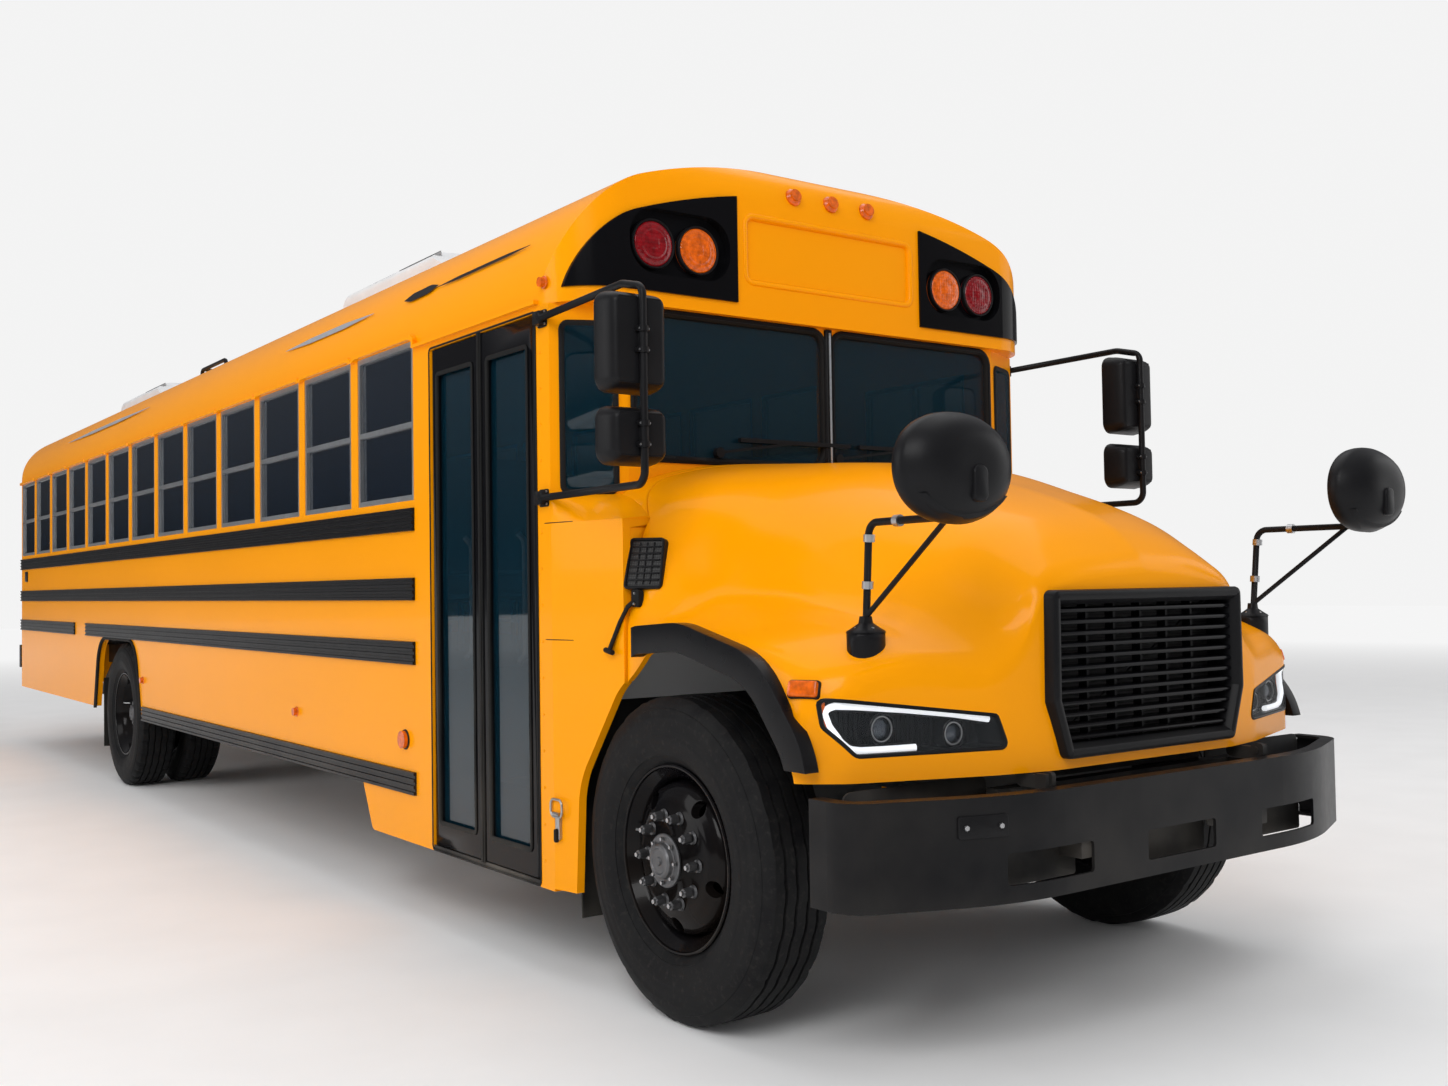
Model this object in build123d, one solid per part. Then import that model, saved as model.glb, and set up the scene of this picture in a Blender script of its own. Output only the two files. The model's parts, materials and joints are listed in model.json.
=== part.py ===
"""School bus with an engine ahead of the cab, in separate pieces, millimetres, +Z up.

X runs across the bus (entrance door on the -X side), the nose points to -Y and the tyres
stand on Z = 0. Sizes below are set in a working frame and the finished pieces are moved
along Y, so that the origin lies under the middle of the whole bus.
"""
from build123d import *
import os
from math import cos, radians, sin, sqrt

# ---------------------------------------------------------------- driving sizes
half_width = 1219.0          # body side, 96 inches over all
wall = 45.0                  # side, rear and roof panel thickness
front_axle_y = -5100.0
wheelbase = 7240.0
rear_axle_y = front_axle_y + wheelbase
body_rear_y = 6130.0
post_y = -4440.0             # rear of the front corner, where the side wall begins
screen_y = -4560.0           # outside of the windshield frame
screen_half = 960.0          # half width of the windshield frame
cap_y = -4600.0              # face of the roof's front cap
floor_top = 1065.0
floor_thick = 20.0
skirt_z = 540.0
eave_z = 2498.0
roof_crown = 3070.0
roof_arc = 2935.0            # radius of the roof's top, across the bus
roof_corner = 450.0          # radius from the roof's top to its side
roof_rear_corner = 260.0
rear_corner = 75.0            # upright corners at the rear, seen from above
cap_corner = 230.0           # front corner of the roof, seen from above
cap_brow = 170.0             # front edge of the roof, seen from the side
play = 0.3                   # gap between seated pieces on one body
slip = 0.05                  # radial gap of a pin in its bore

# windows of the passenger space
window_count = 13
window_first_y = -3236.0
window_pitch = 720.0
window_length = 636.0
window_sill = 1795.0
window_head = 2485.0
sash_bar = 24.0
sash_depth = 36.0
sash_mid_z = 2125.0
glass = 6.0

# entrance
door_front_y = -4334.0
door_rear_y = -3412.0
door_sill = 343.0
door_head = 2417.0
door_thick = 40.0
door_gap = 5.0
step_bottom = 320.0
step_rear_y = -2749.0
step_slope_y = -2631.0

# rub rails on the body sides: name, low z, high z
rail_rows = [("sill", 1662.0, 1762.0), ("seat", 1362.0, 1460.0), ("floor", 1085.0, 1185.0)]
rail_front_y = -3241.0
rail_proud = 14.0
rail_break = (3199.0, 3627.0)
skirt_rail = (527.0, 626.0)
skirt_rail_rear_y = 1407.0

# wheels
tyre_radius = 525.0
tyre_width = 280.0
wheel_track_half = 1040.0
twin_gap = 330.0
twin_outer_x = 1060.0
kingpin_x = 880.0
kingpin_r = 22.0
spindle_r = 40.0
hub_r = 120.0

# chassis
rail_half = 432.0
rail_flange = 76.0
rail_web = 8.0
rail_top = 1000.0
rail_bottom = 740.0
rail_front = -5960.0
rail_rear = 6050.0

# nose
hood_skin = 24.0
hood_pivot_y = -6120.0
hood_pivot_z = 826.0
hood_rear_y = -4640.0
hood_side_y = -4822.0
hood_low = 842.0
grille_half_top = 471.0
grille_half_low = 417.0
grille_top = 1377.0
grille_low = 873.0
slat_count = 12

# bumpers
bumper_front_y = -6200.0
bumper_top = 811.0
bumper_low = 512.0
bumper_wall = 10.0
rear_bumper_y = 6230.0
rear_bumper_low = 720.0
rear_bumper_top = 935.0

# crossover mirror
cross_x = 1017.0
cross_y = -6285.0
cross_z = 1706.0
cross_half = (205.0, 62.0, 150.0)  # half width, depth and height of its head

front_tip_y = cross_y - cross_half[1]
shift_y = -(front_tip_y + rear_bumper_y) / 2

pieces = {}


# ---------------------------------------------------------------- helpers
def block(x, y, z):
    """Box between the low and high values given for each axis."""
    middle = Pos((x[0] + x[1]) / 2, (y[0] + y[1]) / 2, (z[0] + z[1]) / 2)
    return middle * Box(x[1] - x[0], y[1] - y[0], z[1] - z[0])


def outline(rows):
    """Flat face from rows of (a, b) or (a, b, corner radius)."""
    face = Polygon(*[(row[0], row[1]) for row in rows], align=None)
    for row in rows:
        if len(row) > 2 and row[2] > 0:
            corner = face.vertices().sort_by_distance(Vector(row[0], row[1], 0))[0]
            face = fillet(corner, row[2])
    return face


def along_x(face, low, high):
    """Face drawn in (y, z), extruded between two x."""
    return extrude(Plane.YZ.offset(low) * face, high - low, dir=(1, 0, 0))


def along_y(face, low, high):
    """Face drawn in (x, z), extruded between two y."""
    plane = Plane(origin=(0, high, 0), x_dir=(1, 0, 0), z_dir=(0, -1, 0))
    return extrude(plane * face, high - low, dir=(0, -1, 0))


def along_z(face, low, high):
    """Face drawn in (x, y), extruded between two z."""
    return extrude(Plane.XY.offset(low) * face, high - low, dir=(0, 0, 1))


def rounded(a, b, radius):
    """Rectangle between the low and high values, with round corners."""
    rectangle = RectangleRounded(a[1] - a[0], b[1] - b[0], radius)
    return Pos((a[0] + a[1]) / 2, (b[0] + b[1]) / 2) * rectangle


def square(a, b):
    """Rectangle between the low and high values, with sharp corners."""
    return Pos((a[0] + a[1]) / 2, (b[0] + b[1]) / 2) * Rectangle(a[1] - a[0], b[1] - b[0])


def rod_x(radius, low, high, y, z):
    return Pos((low + high) / 2, y, z) * Rot(0, 90, 0) * Cylinder(radius, high - low)


def rod_y(radius, low, high, x, z):
    return Pos(x, (low + high) / 2, z) * Rot(90, 0, 0) * Cylinder(radius, high - low)


def rod_z(radius, low, high, x, y):
    return Pos(x, y, (low + high) / 2) * Cylinder(radius, high - low)


def mirrored(shape):
    return mirror(shape, about=Plane.YZ)


def pair(shape):
    """The shape and its copy on the other side of the bus."""
    return [shape, mirrored(shape)]


def add(name, *shapes):
    """Give the node its solids; lists are taken apart."""
    solids = []
    for shape in shapes:
        for item in shape if isinstance(shape, (list, tuple)) else [shape]:
            solids += list(item.solids())
    pieces[name] = solids


def bent_tube(points, radii, tube_r):
    """Round tube along straight runs joined by arcs."""
    path = FilletPolyline(*points, radius=radii)
    start = path @ 0
    way = path % 0
    return sweep(Plane(origin=start, z_dir=way) * Circle(tube_r), path=path)


# ---------------------------------------------------------------- body shell
shell_ease = 3.0             # the inside's corners start this far out, clear of its flat sides


def roof_section(half, crown, corner, low):
    """Cross-section of the roof: flat sides, round corners and a long top arc."""
    side_z = crown - roof_arc + sqrt(roof_arc ** 2 - half ** 2)
    disc = Pos(0, crown - roof_arc) * Circle(roof_arc)
    foot = crown - 1500
    face = disc & Polygon((-half, foot), (half, foot), (half, crown + 10), (-half, crown + 10), align=None)
    for x in (-half, half):
        tip = face.vertices().sort_by_distance(Vector(x, side_z, 0))[0]
        face = fillet(tip, corner)
    return face & Polygon((-half, low), (half, low), (half, crown + 10), (-half, crown + 10), align=None)


def upper_shell(inset, low):
    """Solid outline of the roof and its two ends, drawn in by inset, above low."""
    front = cap_y + inset
    rear = body_rear_y - inset
    half = half_width - inset
    crown = roof_crown - inset
    across = along_y(roof_section(half, crown, roof_corner - inset, low), front, rear)
    side = outline([
        (front, low), (rear, low), (rear, crown, roof_rear_corner - inset),
        (front, crown, cap_brow - inset),
    ])
    reach = half + (shell_ease if inset > 0 else 0)
    plan = outline([
        (-reach, front, cap_corner - inset), (reach, front, cap_corner - inset),
        (reach, rear, rear_corner - inset), (-reach, rear, rear_corner - inset),
    ])
    return across & along_x(side, -half, half) & along_z(plan, low, crown + 20)


cap_joint_y = -4364.0
header_low = 2440.0
pod_inner_x = 484.0
pod_low = 2492.0
pod_proud = 10.0
pod_deep = 60.0
pod_half = 1195.0
pod_crown = 2943.0
sign_half = 445.0
sign_z = (2571.0, 2845.0)
sign_deep = 12.0
lamp_red_x = 858.0
lamp_amber_x = 655.0
lamp_z = 2672.0
lamp_r = 91.0
lamp_well = (520.0, 974.0)
lamp_well_z = (2556.0, 2800.0)
lamp_well_deep = 34.0


def lamp_pod(face_y, back_y, skin, sense):
    """Black pods round the warning lamps; sense is -1 at the front, +1 at the rear."""
    low_y, high_y = sorted((face_y, back_y))
    section = roof_section(pod_half, pod_crown, 380.0, pod_low)
    blank = skin & along_y(section, low_y, high_y)
    right = blank & block((-half_width, -pod_inner_x), (low_y, high_y), (pod_low, pod_crown))
    well_face = rounded((-lamp_well[1], -lamp_well[0]), lamp_well_z, 110)
    floor_y = face_y - sense * (lamp_well_deep + pod_proud)
    well = along_y(well_face, *sorted((floor_y, face_y + sense * 50)))
    return right - well, floor_y


outer = upper_shell(0, eave_z)
inner = upper_shell(wall, eave_z - 10)
roof_shell = outer - inner

front_zone = block((-1400, 1400), (cap_y - 100, cap_joint_y), (2000, 3400))
cap_outer = upper_shell(0, header_low) & front_zone
cap_inner = upper_shell(wall, eave_z) & block((-1400, 1400), (cap_y - 100, cap_joint_y), (eave_z, 3400))
cap = cap_outer - cap_inner
cap -= block((-screen_half - 60, screen_half + 60), (screen_y + 45, cap_joint_y), (header_low, eave_z))

pod_skin_front = upper_shell(-pod_proud, pod_low) - upper_shell(pod_deep, pod_low - 10)
pod_front, lamp_floor_front = lamp_pod(cap_y - pod_proud, post_y, pod_skin_front, -1)
pod_cut_y = (cap_y - 60, post_y + play)
pod_cut = along_y(roof_section(pod_half + play, pod_crown + play, 380.0, pod_low - play), *pod_cut_y)
pod_cut &= block((-half_width - 20, -pod_inner_x + play), pod_cut_y, (pod_low - play, pod_crown + play))
pod_cut -= upper_shell(pod_deep + play, pod_low - 20)
cap = cap - pod_cut - mirrored(pod_cut)
sign_panel = along_y(rounded((-sign_half, sign_half), sign_z, 40), cap_y - 20, cap_y + sign_deep)
cap = cap - sign_panel
roof = roof_shell - front_zone
add("front_cap", cap)


rear_pod_back = body_rear_y - 80
pod_rear, lamp_floor_rear = lamp_pod(body_rear_y + pod_proud, rear_pod_back, pod_skin_front, 1)
pod_cut_rear = along_y(roof_section(pod_half + play, pod_crown + play, 380.0, pod_low - 20),
                       rear_pod_back - play, body_rear_y + 60)
pod_cut_rear &= block((-half_width - 20, -pod_inner_x + play), (rear_pod_back - play, body_rear_y + 60),
                      (pod_low - 20, pod_crown + play))
pod_cut_rear -= upper_shell(pod_deep + play, pod_low - 30)
roof = roof - pod_cut_rear - mirrored(pod_cut_rear)
panel_seam_x = 860.0
panel_seam_y = 5850.0
roof -= block((-half_width - 10, half_width + 10), (panel_seam_y, panel_seam_y + play), (eave_z - 10, roof_crown + 10))
for x in (-panel_seam_x, panel_seam_x):
    roof -= block((x - play / 2, x + play / 2), (cap_joint_y - 10, panel_seam_y + 1), (eave_z - 10, roof_crown + 10))
add("roof", roof)
pod_rear &= block((-half_width, 0), (rear_pod_back, body_rear_y + 50), (eave_z + play, roof_crown))
add("lamp_pods", pair(pod_front), pair(pod_rear))

lamp_deep = 20.0


def warning_lamps(x):
    """Four round lamps, one pair in the front pods and one in the rear."""
    front_lamp = rod_y(lamp_r, lamp_floor_front - lamp_deep, lamp_floor_front - play, x, lamp_z)
    rear_lamp = rod_y(lamp_r, lamp_floor_rear + play, lamp_floor_rear + lamp_deep, x, lamp_z)
    return pair(front_lamp) + pair(rear_lamp)


warning_red = warning_lamps(lamp_red_x)
warning_amber = warning_lamps(lamp_amber_x)


# ---------------------------------------------------------------- side walls
arch_rows = [(1451, 400), (1451, 540), (1600, 1078, 260), (2734, 1078, 260), (2884, 540), (2884, 400)]
rear_arch = outline(arch_rows)
wall_rear_y = body_rear_y - rear_corner
wall_x = (-half_width, -half_width + wall)
window_starts = [window_first_y + window_pitch * i for i in range(window_count)]


def side_wall(rows):
    face = outline(rows) - rear_arch
    for start in window_starts:
        face -= square((start, start + window_length), (window_sill, window_head))
    return face


right_face = side_wall([
    (post_y, step_bottom), (step_rear_y, step_bottom, 40), (step_slope_y, skirt_z, 20),
    (wall_rear_y, skirt_z), (wall_rear_y, eave_z), (cap_joint_y, eave_z), (cap_joint_y, header_low),
    (post_y, header_low),
])
right_face -= rounded((door_front_y, door_rear_y), (step_bottom - 50, door_head), 12)
driver_window = ((-4190.0, -3480.0), (1700.0, 2400.0))
left_face = side_wall([
    (post_y, step_bottom), (door_rear_y, step_bottom, 40), (door_rear_y + 120, skirt_z, 20),
    (wall_rear_y, skirt_z), (wall_rear_y, eave_z), (cap_joint_y, eave_z), (cap_joint_y, header_low),
    (post_y, header_low),
])
left_face -= square(*driver_window)
side_wall_right = along_x(right_face, *wall_x)
side_wall_left = mirrored(along_x(left_face, *wall_x))

# rear wall with its door opening and two windows
rear_door_half = 485.0
rear_door_z = (floor_top, 2440.0)
rear_window_x = (570.0, 1060.0)
ring_out = outline([(-half_width, wall_rear_y), (half_width, wall_rear_y), (half_width, body_rear_y, rear_corner),
                    (-half_width, body_rear_y, rear_corner)])
ring_in = outline([(-half_width + wall, wall_rear_y - 1), (half_width - wall, wall_rear_y - 1),
                   (half_width - wall, body_rear_y - wall, rear_corner - wall),
                   (-half_width + wall, body_rear_y - wall, rear_corner - wall)])
rear_wall = along_z(ring_out - ring_in, skirt_z, eave_z)
rear_opening = rounded((-rear_door_half, rear_door_half), rear_door_z, 20)
rear_wall -= along_y(rear_opening, body_rear_y - 60, body_rear_y + 10)
rear_window_face = square(rear_window_x, (window_sill, 2400.0))
rear_wall -= along_y(rear_window_face, body_rear_y - 60, body_rear_y + 10)
rear_wall -= along_y(mirrored(rear_window_face), body_rear_y - 60, body_rear_y + 10)

# floor, steps, cross sills and the boxes over the rear wheels
firewall_thick = 25.0
floor_front_y = screen_y + firewall_thick + play
floor_half = half_width - wall - play
floor_front_half = 1145.0
door_mid_y = (door_front_y + door_rear_y) / 2
step_x = (-half_width + wall, -rail_half - 10)
step_y = (door_front_y - 12, door_rear_y + 12)
step_side = 10.0
floor_plan = outline([
    (-floor_half, post_y), (-floor_front_half, floor_front_y),
    (floor_front_half, floor_front_y), (floor_half, post_y),
    (floor_half, body_rear_y - wall - play, rear_corner - wall), (-floor_half, body_rear_y - wall - play, rear_corner - wall),
])
floor_plate = along_z(floor_plan, floor_top - floor_thick, floor_top)
sill_count = 14
sill_pitch = 760.0
sill_first_y = -4200.0
sill_wide = 60.0
for i in range(sill_count):
    sill_y = sill_first_y + sill_pitch * i
    floor_plate += block((-floor_half, floor_half), (sill_y, sill_y + sill_wide), (rail_top + play, floor_top - 1))
well_inner_x = 572.0
well_y = (1520.0, 2760.0)
well_top = 1120.0
well_wall = 10.0
well_boxes = []
for x in ((-floor_half, -well_inner_x), (well_inner_x, floor_half)):
    inside_x = (x[0] + well_wall, x[1] + 1) if x[0] > 0 else (x[0] - 1, x[1] - well_wall)
    floor_plate -= block(x, well_y, (rail_top - 10, floor_top + 10))
    box_x = (x[0] + play, x[1]) if x[0] > 0 else (x[0], x[1] - play)
    box = block(box_x, (well_y[0] + play, well_y[1] - play), (floor_top - floor_thick, well_top))
    well_room_y = (well_y[0] + well_wall, well_y[1] - well_wall)
    well_boxes.append(box - block(inside_x, well_room_y, (rail_top, well_top - well_wall)))
floor_cut_y = (step_y[0] - step_side - play, step_y[1] + step_side + play)
floor_plate -= block((step_x[0] - 1, step_x[1] + play), floor_cut_y, (rail_top - 10, floor_top + 10))
floor_plate -= block((-half_width, half_width), (floor_cut_y[1], floor_cut_y[1] + play), (rail_top - 10, floor_top + 10))
floor_plate -= block((step_x[1], step_x[1] + play), (floor_front_y - 1, floor_cut_y[1]), (rail_top - 10, floor_top + 10))
add("floor", floor_plate, well_boxes)
tread = 22.0
step_count = 3
step_rise = (floor_top - door_sill) / step_count
step_run = (step_x[1] - step_x[0] - tread) / step_count
stairs = block((-half_width + 1, step_x[0]), (door_front_y + play, door_rear_y - play),
               (door_sill - tread, door_sill - play))
for i in range(step_count):
    low_x = step_x[0] + step_run * i
    low_z = door_sill + step_rise * i
    stairs += block((low_x, low_x + step_run + tread), step_y, (low_z - tread, low_z))
    stairs += block((low_x + step_run, low_x + step_run + tread), step_y, (low_z - tread, low_z + step_rise))
well_face = Polygon((step_x[0], door_sill - tread), (step_x[0] + step_run, door_sill - tread),
                    (step_x[1], floor_top - step_rise - tread), (step_x[1], floor_top),
                    (step_x[0], floor_top), align=None)
for low_y, high_y in ((step_y[0] - step_side, step_y[0]), (step_y[1], step_y[1] + step_side)):
    stairs += along_y(well_face, low_y, high_y)

# ---------------------------------------------------------------- front frame and cowl
corner_wall = 45.0
ring_plan = Polygon((-half_width, post_y), (-screen_half, screen_y), (screen_half, screen_y), (half_width, post_y),
                    (half_width - corner_wall, post_y), (screen_half - corner_wall + 10, screen_y + corner_wall),
                    (-screen_half + corner_wall - 10, screen_y + corner_wall), (-half_width + corner_wall, post_y),
                    align=None)
screen_low = 1880.0
screen_head = 2425.0
cowl_low = 330.0
ledge_z = 1640.0
front_frame = along_z(ring_plan, ledge_z, header_low)
pane_cut = along_y(rounded((22, screen_half - 25), (screen_low, screen_head), 60), screen_y - 60, screen_y + 100)
front_frame = front_frame - pane_cut - mirrored(pane_cut)
corner_turn = 24.86
corner_mid = ((-half_width - screen_half) / 2, (post_y + screen_y) / 2)
quarter_face = square((-95, 95), (1755.0, 2366.0))
quarter_at = Pos(corner_mid[0], corner_mid[1], 0) * Rot(0, 0, -corner_turn)
quarter_cut = quarter_at * along_y(quarter_face, -80, 80)
front_frame = front_frame - quarter_cut - mirrored(quarter_cut)
add("front_frame", front_frame)

screen = along_y(rounded((22 + play, screen_half - 25 - play), (screen_low + play, screen_head - play), 60),
                 screen_y + 12, screen_y + 12 + glass)
quarter = quarter_at * along_y(square((-95 + play, 95 - play), (1755.0 + play, 2366.0 - play)), -6, 0)
add("windshield_glass", pair(screen), pair(quarter))

# opening for the front wheel, across fender and cowl: y, z, corner radius
arch_front = [
    (-4554, 250), (-4578, 720, 300), (-4790, 1065, 220), (-4985, 1185, 120), (-5230, 1200, 300),
    (-5590, 1115, 260), (-5765, 900, 200), (-5790, 700), (-5790, 250),
]
front_arch = outline(arch_front)
cowl_front_y = -4815.0
cowl_front_half = 1150.0
side_plan = Polygon((-half_width, post_y), (-cowl_front_half, cowl_front_y), (-cowl_front_half + 30, cowl_front_y),
                    (-half_width + 30, post_y), align=None)
cowl_side = along_z(side_plan, cowl_low, ledge_z) - along_x(front_arch, -1300, -1000)
ledge_plan = Polygon((-half_width, post_y), (-cowl_front_half, cowl_front_y), (-900, cowl_front_y),
                     (-900, screen_y), (-screen_half, screen_y), align=None)
ledge = along_z(ledge_plan, ledge_z - 30, ledge_z)
firewall = block((-1165, 1165), (screen_y, screen_y + firewall_thick), (rail_top + play, ledge_z))

# ---------------------------------------------------------------- hood
# Half sections of the hood and fenders from the cowl to the grille. Each row: y, then
# (x, z) of the crown, brow, deck edge, cheek, side, valley, fender crest, fender shoulder, fender side.
hood_rows = [
    (-4560, (0, 1885), (300, 1880), (560, 1866), (780, 1832), (980, 1752), (1085, 1600), (1120, 1400), (1138, 1250), (1140, 1100)),
    (-4815, (0, 1868), (300, 1862), (500, 1845), (740, 1806), (960, 1725), (1070, 1590), (1110, 1400), (1138, 1250), (1140, 1100)),
    (-5130, (0, 1848), (300, 1838), (500, 1805), (690, 1735), (850, 1600), (960, 1400), (1080, 1310), (1180, 1245), (1200, 1100)),
    (-5500, (0, 1752), (300, 1735), (500, 1692), (650, 1610), (770, 1470), (870, 1345), (1040, 1290), (1175, 1215), (1205, 1080)),
    (-5800, (0, 1655), (300, 1628), (500, 1565), (600, 1480), (680, 1360), (780, 1280), (960, 1240), (1130, 1150), (1190, 1020)),
    (-5950, (0, 1580), (300, 1545), (480, 1475), (550, 1390), (620, 1290), (720, 1215), (900, 1180), (1060, 1090), (1150, 980)),
    (-6085, (0, 1462), (300, 1440), (471, 1385), (510, 1290), (560, 1190), (650, 1120), (800, 1090), (960, 1020), (1060, 940)),
]
# Nose seen from above, half: x, y, corner radius
nose_half = [(440, -6082, 200), (640, -6040, 200), (1080, -5885, 200), (1190, -5790, 90), (1207, -5600, 200)]


def hood_solid(inset, low):
    """Solid under the hood's skin, drawn in by inset, cut to the nose outline."""
    faces = []
    for row in hood_rows:
        half = [(max(x - inset, 0), z - inset) for x, z in row[1:]]
        ring = half + [(half[-1][0], low)]
        ring += [(-x, z) for x, z in reversed(ring) if x > 0]
        plane = Plane(origin=(0, row[0], 0), x_dir=(1, 0, 0), z_dir=(0, -1, 0))
        faces.append(plane * Polygon(*ring, align=None))
    body = loft(faces, ruled=True)
    return body & nose_block(inset, low, 2000)


def nose_block(inset, low, high):
    """Everything behind the nose outline seen from above."""
    points = [(nose_half[-1][0] - inset, screen_y)]
    points += [(x - inset * 0.7, y + inset, r) for x, y, r in reversed(nose_half)]
    points += [(-row[0],) + tuple(row[1:]) for row in reversed(points)]
    return along_z(outline(points), low, high)


hood_cut_rows = [(hood_rear_y, 2100), (hood_rear_y, 1800), (hood_side_y, ledge_z), (hood_side_y, 200)]
behind_hood = Polygon(*hood_cut_rows, (-4000, 200), (-4000, 2100), align=None)
before_cowl = Polygon(*[(y + 8, z) for y, z in hood_cut_rows], (-7000, 200), (-7000, 2100), align=None)
hood_outer = hood_solid(0, hood_low)
hood_inner = hood_solid(hood_skin, hood_low - 100)
hood_shell = hood_outer - hood_inner
hood = hood_shell - along_x(behind_hood, -1400, 1400) - along_x(front_arch, -1400, 1400)

cowl_top = hood_shell & block((-1400, 1400), (-4815, screen_y), (ledge_z, 2000))
cowl_top -= along_x(before_cowl, -1400, 1400)
cowl = cowl_top + ledge + mirrored(ledge) + cowl_side + mirrored(cowl_side) + firewall
add("cowl", cowl)

grille_rows = [
    (-grille_half_top, grille_top, 25), (grille_half_top, grille_top, 25), (grille_half_top + 4, 1045, 40),
    (grille_half_low, grille_low, 25), (-grille_half_low, grille_low, 25), (-grille_half_top - 4, 1045, 40),
]
grille_face = outline(grille_rows)
hood_front_y = nose_half[0][1]
grille_proud = 32.0
grille_deep = 90.0
hood -= along_y(offset(grille_face, play), hood_front_y - 60, hood_front_y + 200)
grille_y_range = (hood_front_y - grille_proud, hood_front_y + grille_deep)
grille_open = offset(grille_face, -44)
grille = along_y(grille_face - grille_open, *grille_y_range)
slat_pitch = (grille_top - grille_low - 88) / slat_count
for i in range(slat_count):
    z = grille_low + 44 + slat_pitch * (i + 0.5)
    bar = Polygon((-500, z - 5), (500, z - 5), (500, z + 7), (-500, z + 7), align=None)
    grille += along_y(bar & offset(grille_face, -20), grille_y_range[0] + 26, grille_y_range[0] + 80)
for x in (-260, 0, 260):
    bar = Polygon((x - 6, 800), (x + 6, 800), (x + 6, 1500), (x - 6, 1500), align=None)
    grille += along_y(bar & offset(grille_face, -20), grille_y_range[0] + 60, grille_y_range[0] + 86)
add("grille", grille)

lamp_rows = [(-600, 916, 20), (-640, 1020, 15), (-1080, 1078, 15), (-1150, 1085, 20), (-1140, 1000, 30), (-1060, 912, 30)]
lamp_face = outline(lamp_rows)
lamp_cut = along_y(offset(lamp_face, play), -6200, -5650)
hood = hood - lamp_cut - mirrored(lamp_cut)
lamp_prism = along_y(lamp_face, -6200, -5650)
lamp_hollow = along_y(offset(lamp_face, -10), -6200, -5650)
lamp_lens = (nose_block(0, 800, 1200) - nose_block(5, 700, 1300)) & lamp_prism
lamp_cup = (nose_block(5 + play, 800, 1200) - nose_block(100, 700, 1300)) & lamp_prism
lamp_cup -= (nose_block(0, 800, 1200) - nose_block(85, 700, 1300)) & lamp_hollow
add("headlamps", pair(lamp_cup))
add("headlamp_lenses", pair(lamp_lens))

# hinge of the hood: arms on the hood, ears and pins on the frame
arm_x = (518.0, 534.0)
pin_r = 12.0
pin_slip = 0.6
lug = 27.0
arm_back_y = hood_front_y + 75
arm_inner_y = hood_front_y + hood_skin - 2
arm_face = outline([
    (hood_pivot_y - lug, hood_pivot_z - lug, 20), (arm_back_y, hood_pivot_z - lug, 20),
    (arm_back_y, hood_pivot_z + 230), (arm_inner_y, hood_pivot_z + 230), (arm_inner_y, hood_low - 4),
    (hood_pivot_y + 20, hood_low - 4), (hood_pivot_y, hood_pivot_z + lug - 2, 12),
    (hood_pivot_y - lug, hood_pivot_z + lug - 2, 20),
])
arm_face -= Pos(hood_pivot_y, hood_pivot_z) * Circle(pin_r + pin_slip)
hood_arm = along_x(arm_face, *arm_x)
hood = hood + hood_arm + mirrored(hood_arm)
add("hood", hood)

# black flares round the front wheel openings
flare_wide = 92.0
flare_band = offset(front_arch, flare_wide) - front_arch
flare_zone = Polygon((-4967, 1100), (-4967, 1500), (-6100, 1500), (-6100, 880), (-5200, 880), align=None)
hood_room = hood_solid(-play, hood_low - 100)
flare = along_x(flare_band & flare_zone, -half_width, -1168) - hood_room
add("fender_flares", pair(flare.solids().sort_by(SortBy.VOLUME)[-1]))

# ---------------------------------------------------------------- front bumper
bumper_end_y = -5855.0
bumper_half = 1205.0
bumper_lip = 48.0
bumper_face = outline([
    (-bumper_half, bumper_end_y), (-bumper_half, -6010, 120), (-740, bumper_front_y, 1000),
    (740, bumper_front_y, 1000), (bumper_half, -6010, 120), (bumper_half, bumper_end_y),
])


def bumper_core(inset):
    """Room inside the bumper, open to the rear."""
    mouth = Polygon((-bumper_half + inset, bumper_end_y - inset - 20), (bumper_half - inset, bumper_end_y - inset - 20),
                    (bumper_half - inset, bumper_end_y + 50), (-bumper_half + inset, bumper_end_y + 50), align=None)
    return offset(bumper_face, -inset) + mouth


bumper = along_z(bumper_face, bumper_low, bumper_top)
bumper -= along_z(bumper_core(bumper_wall), bumper_low + bumper_wall, bumper_top - bumper_wall)
bumper -= along_z(bumper_core(bumper_lip), bumper_low - 10, bumper_top + 10)
bumper_slot_z = (560.0, 650.0)
bumper_slots = [(-760.0, -420.0), (-170.0, 170.0), (420.0, 760.0)]
for slot in bumper_slots:
    bumper -= along_y(rounded(slot, bumper_slot_z, 12), bumper_front_y - 50, bumper_front_y + 150)
add("front_bumper", bumper)

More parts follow.
